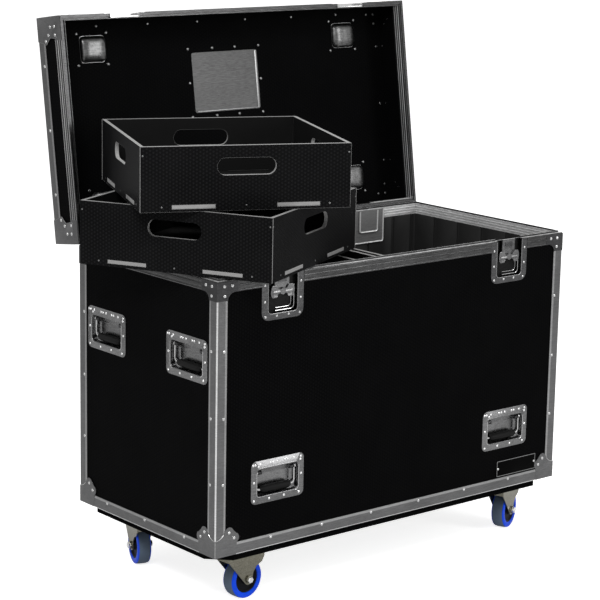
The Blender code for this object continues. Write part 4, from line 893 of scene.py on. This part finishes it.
def lid_dishes():
    """The four wheel cups with painted highlight rings on their edges, the label dish with painted highlight
    strips along two edges, and their rivets.
    """
    cup = cup_shape()
    inner_ring, outer_ring = (0.0376, 0.0331, 0.0098), (0.0388, 0.0343, 0.0104)
    edge = hoop(pressed([(*ring, height, 0.0) for ring, height in (
        (inner_ring, -0.0122), (outer_ring, -0.0122), (outer_ring, -0.0112), (inner_ring, -0.0112))]))
    spots = []
    for corner in ("front_left", "back_left", "front_right", "back_right"):
        x = 0.151 if "left" in corner else WIDE - 0.151
        y = 0.084 if "front" in corner else DEEP - 0.084
        shown = make("pressed_cup_" + corner, lay(cup, top(x, y)), CUP_METAL, "lid", smooth=50)
        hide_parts("wheel_cup_" + corner)
        # A bright ring round each cup's edge: painted highlight.
        make("cup_edge_" + corner, lay(edge, top(x, y)), EDGE_HIGHLIGHT, "lid")
        spots += [(x + dx, y + dy) for dx in (-0.0455, 0.0455) for dy in (-0.0405, 0.0405)]
    eased("label_dish", LABEL_METAL, "lid", 0.0006)
    x, y = WIDE / 2, 0.188
    # Two bright strips along the label dish's right and back sides: painted highlight where its side walls
    # catch the light.
    strips = [lay(plate(0.0026, 0.0770, 0.0010, 0.0, 0.0006, 0.0002, 3), inside_top(x + 0.1040, y, 0.0138)),
              lay(plate(0.1030, 0.0007, 0.0004, 0.0, 0.0006, 0.0002, 3), inside_top(x, y + 0.0765, 0.0138))]
    make("label_dish_highlight_strips", gather(strips), EDGE_HIGHLIGHT, "lid")
    spots += [(x + dx, y + dy) for dx in (-0.119, -0.038, 0.038, 0.119) for dy in (-0.090, 0.090)]
    spots += [(x - 0.120, y), (x + 0.120, y)]
    heads("lid_dish_rivets", [top(*spot) for spot in spots], 0.0040, 0.0015, RIVETS, "lid")
    ends = [inside_top(*spot, TOP_INSIDE) for spot in spots]
    heads("lid_dish_rivet_ends", ends, 0.0042, 0.0016, DULL_RIVETS, "lid")


# Handles

HANDLES = {"front_left": front, "front_right": front, "left_end_front": left, "left_end_back": left,
           "right_end_front": right, "right_end_back": right}


def middle_of(node):
    low, high = (np.array(corner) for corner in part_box(node))
    return (low + high) / 2 - CORNER


def handle_frame(name):
    middle = middle_of("handle_dish_" + name)
    face = HANDLES[name]
    return face(middle[0] if face is front else middle[1], middle[2])


def handle_dish_shape():
    """Flange with a raised lip, sides that draw in, and a floor whose top slopes like a scoop.

    The scoop draws in by one minus the root of one minus the square of the way down.
    """
    flange_x, flange_y, mouth_x, mouth_y, low, depth = 0.081, 0.0535, 0.063, 0.0335, -0.002, 0.0219
    face = [(flange_x, flange_y, 0.014, -SHEET, 0.0), (flange_x, flange_y, 0.014, -0.0003, 0.0),
            (flange_x - 0.0006, flange_y - 0.0006, 0.0134, 0.0002, 0.0)]
    face += [(mouth_x + grow, mouth_y + grow, radius, height, low) for grow, radius, height in (
        (0.0042, 0.0122, 0.0002), (0.0030, 0.0110, 0.0009), (0.0014, 0.0094, 0.0012),
        (0.0002, 0.0082, 0.0006), (-0.0004, 0.0080, -0.0010))]
    scoop = [(t, 1 - math.sqrt(1 - 0.98 * t * t)) for t in np.linspace(0.08, 1, 8)]
    inner = [(mouth_x - 0.0004 - 0.0016 * t ** 2, mouth_y - 0.0004 - 0.0065 * drawn, 0.008,
              -0.001 - (depth - 0.001) * t, low - 0.0055 * drawn) for t, drawn in scoop]
    middle = inner[-1][4]
    floor = [(0.050, 0.018, 0.006, -depth - 0.00005, middle)]
    behind = [(0.050, 0.018, 0.006, -depth - SHEET, middle),
              (mouth_x + 0.001, mouth_y + 0.0005, 0.009, -depth * 0.55, low),
              (mouth_x + 0.0012, mouth_y + 0.0012, 0.0092, -SHEET, low)]
    return closed_dish(face + inner + floor, behind)


def closed_dish(shown, behind):
    """The shown side and the back of a pressed dish, joined at the flange's edge and both filled."""
    return skin(pressed(shown[::-1] + behind[::-1]))


def handle_rivets(where):
    """A row with pairs along the top, one at each side, and four at the foot."""
    along_top = (-0.0755, -0.0685, -0.053, -0.023, -0.0150, -0.002, 0.0226, 0.0306, 0.050, 0.071)
    spots = [(x, 0.0445) for x in along_top] + [(x, -0.0445) for x in (-0.072, -0.0255, 0.020, 0.0666)]
    spots += [(-0.059, 0.0390), (0.0700, 0.0370), (-0.0725, 0.001), (0.0725, 0.001)]
    origin, axes = where
    return [(origin + np.array((x, y, 0.0002)) @ axes, axes) for x, y in spots]


def mouth_highlight_bead():
    """Two bright beads down the sides of the mouth, painted as highlight lines, each ending in a quarter
    circle at the foot.
    """
    path = side_path(0.0646, -0.0371, 0.0096, (0.026, 0.0))
    path = np.column_stack((path, np.full(len(path), 0.0006)))
    return gather([tube(path, 0.0009, 8), tube(path * (-1, 1, 1), 0.0007, 8)])


def bail_shape():
    """A bright bar from pin to pin: down one side, round two bends, across and up the other."""
    path = u_path(0.0588, -GRIP_DROP, 0.009, (0.004, -0.010, -0.022))
    return np.column_stack((path, np.zeros(len(path))))


def spring_shape(x, radius=0.0046, wire=0.0009, coils=5, pitch=0.0022):
    """A torsion spring round the pin: a circle in Y and Z while X steps by the pitch each turn."""
    angle = np.linspace(0, 2 * math.pi * coils, 12 * coils + 1)
    reach = x - math.copysign(1, x) * pitch * angle / (2 * math.pi)
    return tube(np.stack((reach, radius * np.cos(angle), radius * np.sin(angle)), 1), wire, 5)


def bail_knobs():
    """A low knob at each end of the bail's pin."""
    knob = turned([(0.0001, 0.0), (0.0052, 0.0003), (0.0056, 0.0012), (0.0056, 0.0046), (0.0048, 0.0056),
                   (0.0001, 0.0058)], 16)
    return [lay(knob, facing((side * 0.0560, 0.0, 0.0), (0, 0, -side), (0, 1, 0))) for side in (-1, 1)]


def grip_shape():
    """A grip round the bail's bar: its radius swells by one minus the square of the way across."""
    across = np.linspace(-1, 1, 15)
    swell = 0.0082 + 0.0013 * (1 - across ** 2)
    swell[[0, -1]] = 0.0060
    profile = [(0.0001, -0.0458)] + list(zip(swell, across * 0.0455)) + [(0.0001, 0.0458)]
    return lay(turned(profile, 20), facing((0.0, -GRIP_DROP, 0.0), (0, 0, -1), (0, 1, 0)))


def handles():
    """Six handles: pressed dish, bead painted as a highlight, springs, and the bail's bar and grip on the
    bail's body; the rivets get a lighter copy of the rivet metal as painted highlight.
    """
    rivet_places = []
    dish, bead, grip_body = handle_dish_shape(), mouth_highlight_bead(), grip_shape()
    bail = gather([tube(bail_shape(), 0.0032), *bail_knobs()])
    springs = gather([spring_shape(x) for x in (-0.0535, 0.0535)])
    for name in HANDLES:
        where = handle_frame(name)
        origin, axes = where
        pinned = (origin + np.array(PIN) @ axes, axes)
        shown = make("pressed_dish_" + name, lay(dish, where), HANDLE_STEEL, "base", smooth=40)
        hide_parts("handle_dish_" + name)
        make("bail_bar_" + name, lay(bail, pinned), BRIGHT, "bail_" + name)
        grip = make("bail_grip_" + name, lay(grip_body, pinned), RUBBER, "bail_" + name)
        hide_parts("handle_bail_" + name)
        make("bail_springs_" + name, lay(springs, pinned), STEEL, "base")
        make("mouth_highlight_bead_" + name, lay(bead, where), BRIGHT, "base")
        rivet_places += handle_rivets(where)
    heads("handle_rivets", rivet_places, SMALL_RIVET, 0.0015, HIGHLIGHT_RIVETS, "base")


# Latches, keepers and hinges

def wing_shape():
    """Butterfly handle: half height is a waist, a smooth step up to each lobe and a round end."""
    x = np.linspace(-0.036, 0.036, 49)
    rise = np.clip((np.abs(x) - 0.0115) / 0.0075, 0, 1)
    rise = rise * rise * (3 - 2 * rise)
    end = np.sqrt(np.clip(1 - (np.clip(np.abs(x) - 0.0295, 0, 0.0065) / 0.0066) ** 2, 0, 1))
    half = (0.0058 + 0.0092 * rise) * np.maximum(end, 0.12)
    outline = np.concatenate((np.stack((x, half), 1), np.stack((x[::-1], -half[::-1]), 1)))
    levels = ((-0.0038, 1.0), (-0.0014, 1.0), (-0.0008, 0.985), (-0.0005, 0.95), (-0.0004, 0.88),
              (-0.0012, 0.72))
    rows = np.stack([np.column_stack((outline[:, 0] * (1 - (1 - share) * 0.5), outline[:, 1] * share,
                                      np.full(len(outline), z))) for z, share in levels])
    return skin(rows)


def latches():
    """Two latches: dish with painted shade in its recess, butterfly wing with its bar, hook, beads and lip,
    and the lid's keepers. The wing's bar, the beads and the lip are painted highlights.
    """
    rivet_places, keeper_places = [], []
    boss = turned([(0.0001, -0.0012), (0.0085, -0.0012), (0.0085, 0.0002), (0.0076, 0.0010),
                   (0.0001, 0.0011)], 24)
    butterfly = gather([wing_shape(), boss])
    for side in ("left", "right"):
        hook, turning = f"latch_hook_{side}", f"latch_wing_{side}"
        eased(f"latch_dish_{side}", [STEEL, DARK_STEEL], "base", 0.0009, 3,
              choose=lambda middles, normals: middles[:, 1] > 0.0035)
        eased(hook, HANDLE_STEEL, hook, 0.0005)
        eased(f"keeper_{side}", BRIGHT, "lid", 0.0009, 3)
        wing_z = joint(turning + "_turn")["pos_m"][2] - CORNER[2]
        x = middle_of(f"latch_dish_{side}")[0]
        where = front(x, wing_z)
        wing = make(f"butterfly_wing_{side}", lay(butterfly, where), HANDLE_STEEL, turning, smooth=28)
        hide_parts(f"latch_wing_{side}")
        # A bright bar on the wing: painted highlight.
        bar = lay(plate(0.0290, 0.0018, 0.0008, -0.0010, 0.0003, 0.0004, 3), where)
        make(f"wing_bar_{side}", bar, BRIGHT, turning)
        make(f"recess_highlight_lines_{side}", recess_highlight_lines(x), BRIGHT, "base")
        make(f"latch_lip_{side}", latch_lip(x), EDGE_HIGHLIGHT, "base")
        stud = lay(plate(0.013, 0.0085, 0.0015, -0.0046, -0.0030, 0.0007), front(x, wing_z + 0.030))
        make(f"hook_stud_{side}", stud, STEEL, hook)
        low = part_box(f"latch_dish_{side}")[0].z - CORNER[2]
        spots = [(dx, 0.0095) for dx in (-0.052, -0.018, 0.018, 0.052)]
        spots += [(dx, up) for dx in (-0.0545, 0.0545) for up in (0.046, 0.086)]
        rivet_places += [front(x + dx, low + up) for dx, up in spots]
        spots = [(dx, up) for dx in (-0.055, 0.055) for up in (0.016, 0.050)]
        spots += [(-0.018, 0.053), (0.018, 0.053)]
        keeper_places += [front(x + dx, LID_FOOT + up) for dx, up in spots]
    heads("latch_rivets", rivet_places, SMALL_RIVET, 0.0015, RIVETS, "base")
    heads("keeper_rivets", keeper_places, SMALL_RIVET, 0.0015, RIVETS, "lid")


def recess_highlight_lines(x):
    """Bright tubes painted as highlight curves at a latch recess's right side and foot, and a straight one at
    its left.
    """
    head, beads = RIM_FOOT - 0.004, []
    for half, foot, depth, radius in ((0.0405, 0.5775, 0.0095, 0.0013), (0.0335, 0.5840, 0.0122, 0.0009)):
        path = np.concatenate((side_path(half, foot, 0.010, (head, foot + 0.03)), [(-half * 0.4, foot)]))
        beads.append(tube(on_wall(path, x, depth), radius, 8))
    return gather(beads + [rod((x - 0.0400, 0.0100, head), (x - 0.0400, 0.0100, 0.5860), 0.0007, 6)])


def latch_lip(x):
    """A thin raised line round the mouth of a latch dish, painted as a highlight: down a side, round two
    bends and up.
    """
    return tube(on_wall(u_path(0.0450, 0.5730, 0.010, (BASE_TOP - 0.003, 0.6130)), x, 0.0), 0.0010, 8)


def u_bead(x, half, foot, depth):
    """A bead along a step's edge, painted as a light band: down one side, round two small bends and up the
    other side.
    """
    return tube(on_wall(u_path(half, foot, 0.005, (BASE_TOP - 0.003, foot + 0.03), 5), x, depth), 0.0021, 8)


def hinges():
    """Two hinges: the dish in the back wall with beads painted as light bands on its steps, the lid's leaf,
    and rivets.
    """
    base_places, lid_places = [], []
    for side in ("left", "right"):
        eased(f"hinge_dish_{side}", HINGE_STEEL, "base", 0.0007)
        eased(f"lid_hinge_{side}", STEEL, "lid", 0.0005)
        x = middle_of(f"hinge_dish_{side}")[0]
        beads = [u_bead(x, 0.0565, 0.5765, DEEP - 0.0181), u_bead(x, 0.0320, 0.6075, DEEP - 0.0221)]
        make(f"hinge_step_beads_{side}", gather(beads), RIM_BEAD_HIGHLIGHT, "base")
        base_places += [back(x + dx, z) for dx in (-0.061, 0.061) for z in (0.582, 0.605, 0.630)]
        base_places += [back(x + dx, 0.572) for dx in (-0.040, -0.013, 0.013, 0.040)]
        lid_places += [back(x + dx, LID_RIM_TOP + up) for dx in (-0.070, -0.035, 0.0, 0.035, 0.070)
                       for up in (0.006, 0.039)]
    heads("hinge_rivets", base_places, SMALL_RIVET, 0.0014, RIVETS, "base")
    heads("lid_hinge_rivets", lid_places, SMALL_RIVET, 0.0014, RIVETS, "lid")


# Name plate

def name_plate():
    """A bare black plate with a thin pale border and two rivets."""
    x, z, half_x, half_y = 1.0035, 0.055, 0.0715, 0.021
    where = front(x, z)
    make("name_plate", lay(plate(half_x, half_y, 0.0015, -0.0017, 0.0002, 0.0003, 3), where), NAME_BLACK,
         "base")
    rings = pressed([(half_x - inward, half_y - inward, radius, height, 0.0) for inward, radius, height in (
        (0.0002, 0.0014, 0.0003), (0.0002, 0.0014, 0.0005), (0.0017, 0.0008, 0.0005),
        (0.0017, 0.0008, 0.0003))], 3)
    make("name_plate_border", lay(hoop(rings), where), NAME_BORDER, "base")
    places = [front(x + dx, z, 0.0005) for dx in (-0.067, 0.067)]
    heads("name_plate_rivets", places, 0.0034, 0.0014, RIVETS, "base")


# Casters

def wheel_shapes():
    """Tyre, tread band and hub about the axle, as profiles of radius and height.

    The tread's radius falls by the fourth power of the way from its middle.
    """
    half, radius, rim = WHEEL_HALF, 0.0500, WHEEL_HALF - 0.0036
    t = np.linspace(1, -1, 9)
    tread = list(zip(radius - 0.0012 * t ** 4, t * rim)) + [(0.0470, -rim), (0.0470, rim)]
    shoulder = ((0.0486, 0.0040), (0.0489, 0.0030), (0.0478, 0.0014), (0.0455, 0.0004), (0.0400, 0.0001),
                (0.0365, 0.0006), (0.0352, 0.0020), (0.0350, 0.0060), (0.0460, 0.0060))
    sides = [[(reach, hand * (half - inward)) for reach, inward in shoulder] for hand in (1, -1)]
    face = ((0.0066, 0.0002), (0.0120, 0.0002), (0.0135, 0.0016), (0.0150, 0.0050), (0.0300, 0.0062),
            (0.0320, 0.0036), (0.0345, 0.0026), (0.0352, 0.0034))
    hub = [(reach, half - inward) for reach, inward in face]
    hub += [(reach, -height) for reach, height in hub[::-1]]
    return ring_of(tread), gather([ring_of(side) for side in sides]), ring_of(hub)


def nut(radius, height):
    """A six-sided nut with eased corners."""
    return turned([(radius * 0.4, -0.001), (radius, -0.001), (radius, height * 0.8), (radius * 0.86, height),
                   (radius * 0.3, height)], 6)


def casters():
    """Four casters: tyre, tread and hub on the wheel, fork with its axle nuts in a lighter metal as painted
    highlight, plate with race and nuts.
    """
    tread, tyres, hub = wheel_shapes()
    race = turned([(0.0270, -0.002), (0.0292, 0.0), (0.0300, 0.0022), (0.0292, 0.0044), (0.0262, 0.0056),
                   (0.010, 0.0058)], 40)
    for corner in ("front_left", "front_right", "back_left", "back_right"):
        wheel, fork = "caster_wheel_" + corner, "caster_fork_" + corner
        axis = np.array(joint(f"caster_{corner}_roll")["axis"])
        middle = middle_of("wheel_" + corner)
        where = facing(middle, np.cross(Z_AXIS, axis), Z_AXIS)
        tyre = make("tyre_" + corner, lay(tyres, where), TYRE, wheel)
        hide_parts("wheel_" + corner)
        make("tread_" + corner, lay(tread, where), TREAD, wheel)
        make("hub_" + corner, lay(hub, where), HUB, wheel)
        eased("fork_" + corner, OLIVE, fork, 0.0011, 3)
        eased("caster_plate_" + corner, OLIVE, "base", 0.0007)
        nuts = [lay(nut(0.0086, 0.0062), facing(middle + out * AXLE_HALF, np.cross(Z_AXIS, out), Z_AXIS))
                for out in (axis, -axis)]
        make("axle_nuts_" + corner, gather(nuts), HIGHLIGHT_RIVETS, fork)
        seat = np.array(joint(f"caster_{corner}_swivel")["pos_m"]) - CORNER - (0, 0, 0.0040)
        hanging = ((-1, 0, 0), (0, 1, 0))
        make("swivel_race_" + corner, lay(race, facing(seat, *hanging)), OLIVE, "base")
        bolts = [lay(nut(0.0072, 0.0056), facing(seat + (dx, dy, 0), *hanging))
                 for dx in (-0.040, 0.040) for dy in (-0.030, 0.030)]
        make("plate_nuts_" + corner, gather(bolts), BRIGHT, "base")


# Trays

def tray_axes(side):
    turn = math.radians(TRAY_TURNS[side])
    return np.array(((math.cos(turn), math.sin(turn)), (-math.sin(turn), math.cos(turn))))


def trays():
    """Laminated walls outside, dull board inside, bare ply on every cut edge, small screws."""
    reach = TRAY_SIDE / 2
    for side in TRAY_TURNS:
        axes, body = tray_axes(side), f"{side}_tray"
        middle = middle_of(body + "_walls")
        foot = middle[2] - 0.076

        def wall_finish(middles, normals, axes=axes, middle=middle):
            local = np.abs((middles[:, :2] - middle[:2]) @ axes.T)
            turned_normals = np.abs(normals[:, :2] @ axes.T)
            face = np.take_along_axis(turned_normals, local.argmax(1)[:, None], 1)[:, 0] > 0.9
            return np.where(~face, 2, np.where(local.max(1) > reach - 0.0004, 0, 1))

        eased(body + "_walls", [TRAY_LAMINATES[side], TRAY_LINING, PLY], body, 0.0011, 2,
              choose=wall_finish, edge_finish=2)
        eased(body + "_floor", [TRAY_LINING, PLY], body, 0.0005,
              choose=lambda middles, normals: np.abs(normals[:, 2]) < 0.7)
        places = []
        for turn in math.pi / 2 * np.arange(4):
            along = np.array((math.cos(turn), math.sin(turn)))
            out = np.array((math.sin(turn), -math.cos(turn)))
            for across, up in ((-0.2445, 0.131), (0.2445, 0.131), (0.0, 0.0115), (-0.200, 0.0115),
                               (0.200, 0.0115)):
                flat = middle[:2] + (along * across + out * reach) @ axes
                places.append(facing((*flat, foot + up), (*(along @ axes), 0.0)))
        corners = [middle[:2] + np.array((a * (reach - 0.0004), b * (reach - 0.0020))) @ axes
                   for a in (-1, 1) for b in (-1, 1)]
        edges = [rod((*corner, foot + 0.0006), (*corner, foot + 0.1514), 0.0011, 6) for corner in corners]
        make(body + "_corner_edges", gather(edges), PLY, body)
        heads(body + "_screws", places, SCREW, 0.0006, DULL_RIVETS, body)


# Floor, lights and camera

def shadow_floor():
    """A pale floor that keeps the case's shadow, and shows white to the camera beyond it."""
    bpy.ops.mesh.primitive_plane_add(size=60.0, location=(0, 0, 0))
    floor = bpy.context.object
    floor.name = "pale_floor"
    material, tree, shader, place, _ = finish("pale_floor", grey(0.92), 0.9, Specular_IOR_Level=0.1)
    cloud = add(tree, "TexNoise", i0=place, Scale=0.8, Detail=2.0).outputs[0]
    coloured(tree, shader, cloud, grey(0.90), grey(0.93))
    paths = add(tree, "LightPath").outputs
    shader.inputs["Emission Color"].default_value = (1.0, 1.0, 1.0, 1.0)
    tree.links.new(sums(tree, "MULTIPLY", paths["Is Camera Ray"], 0.80), shader.inputs["Emission Strength"])
    floor.data.materials.append(material)


def white_world():
    """A soft grey sky that shows plain white to the camera, to gloss and through glass."""
    world = bpy.data.worlds.new("studio")
    bpy.context.scene.world = world
    world.use_nodes = True
    tree = world.node_tree
    paths = add(tree, "LightPath").outputs
    seen = sums(tree, "MAXIMUM", paths["Is Camera Ray"],
                sums(tree, "MAXIMUM", paths["Is Glossy Ray"], paths["Is Transmission Ray"]))
    strength = sums(tree, "MULTIPLY_ADD", seen, 0.55, 0.45)
    tree.links.new(strength, tree.nodes["Background"].inputs["Strength"])
    tree.nodes["Background"].inputs["Color"].default_value = (1.0, 1.0, 1.0, 1.0)


def lamp(name, place, aim, size, power):
    """A rectangular softbox that faces a point."""
    light = bpy.data.lights.new(name, "AREA")
    light.shape = "RECTANGLE"
    light.size, light.size_y = size
    light.energy = power
    holder = bpy.data.objects.new(name, light)
    bpy.context.scene.collection.objects.link(holder)
    holder.location = place
    holder.rotation_euler = (Vector(aim) - Vector(place)).to_track_quat("-Z", "Y").to_euler()


def lights():
    """A key softbox from the left, one at the front right and one above."""
    aim = (0.0, 0.0, 0.6)
    lamp("key_softbox", (-3.1, -2.6, 3.9), aim, (1.6, 1.6), 170.0)
    lamp("front_softbox", (2.6, -4.2, 2.2), aim, (1.2, 2.4), 60.0)
    lamp("top_softbox", (0.6, 0.4, 4.2), aim, (2.0, 1.2), 60.0)


def camera():
    """A long lens at the photograph's angle, placed by azimuth, elevation, roll and distance."""
    azimuth, elevation, roll = (math.radians(angle) for angle in (-39.7778, 12.1468, 1.0431))
    distance, aim, lens = 5.0249, np.array((0.2472, 0.0, 0.5965)), 126.79
    behind = np.array((math.sin(azimuth) * math.cos(elevation), -math.cos(azimuth) * math.cos(elevation),
                       math.sin(elevation)))
    side = np.array((math.cos(azimuth), math.sin(azimuth), 0.0))
    up = np.cross(behind, side)
    level = math.cos(roll) * side + math.sin(roll) * up
    upright = math.cos(roll) * up - math.sin(roll) * side
    made = bpy.data.cameras.new("photo_camera")
    made.lens = lens
    made.sensor_width = 36.0
    made.clip_end = 100.0
    holder = bpy.data.objects.new("photo_camera", made)
    bpy.context.scene.collection.objects.link(holder)
    turn = Matrix(np.stack((level, upright, behind), 1).tolist()).to_4x4()
    holder.matrix_world = Matrix.Translation(aim + distance * behind + CORNER) @ turn
    bpy.context.scene.camera = holder


dress_boards()
edge_frame()
rims()
base_rivets()
lid_frame()
lid_inside_rivets()
lid_dishes()
handles()
latches()
hinges()
name_plate()
casters()
trays()
shadow_floor()
white_world()
lights()
camera()
bpy.context.scene.view_settings.view_transform = "Standard"
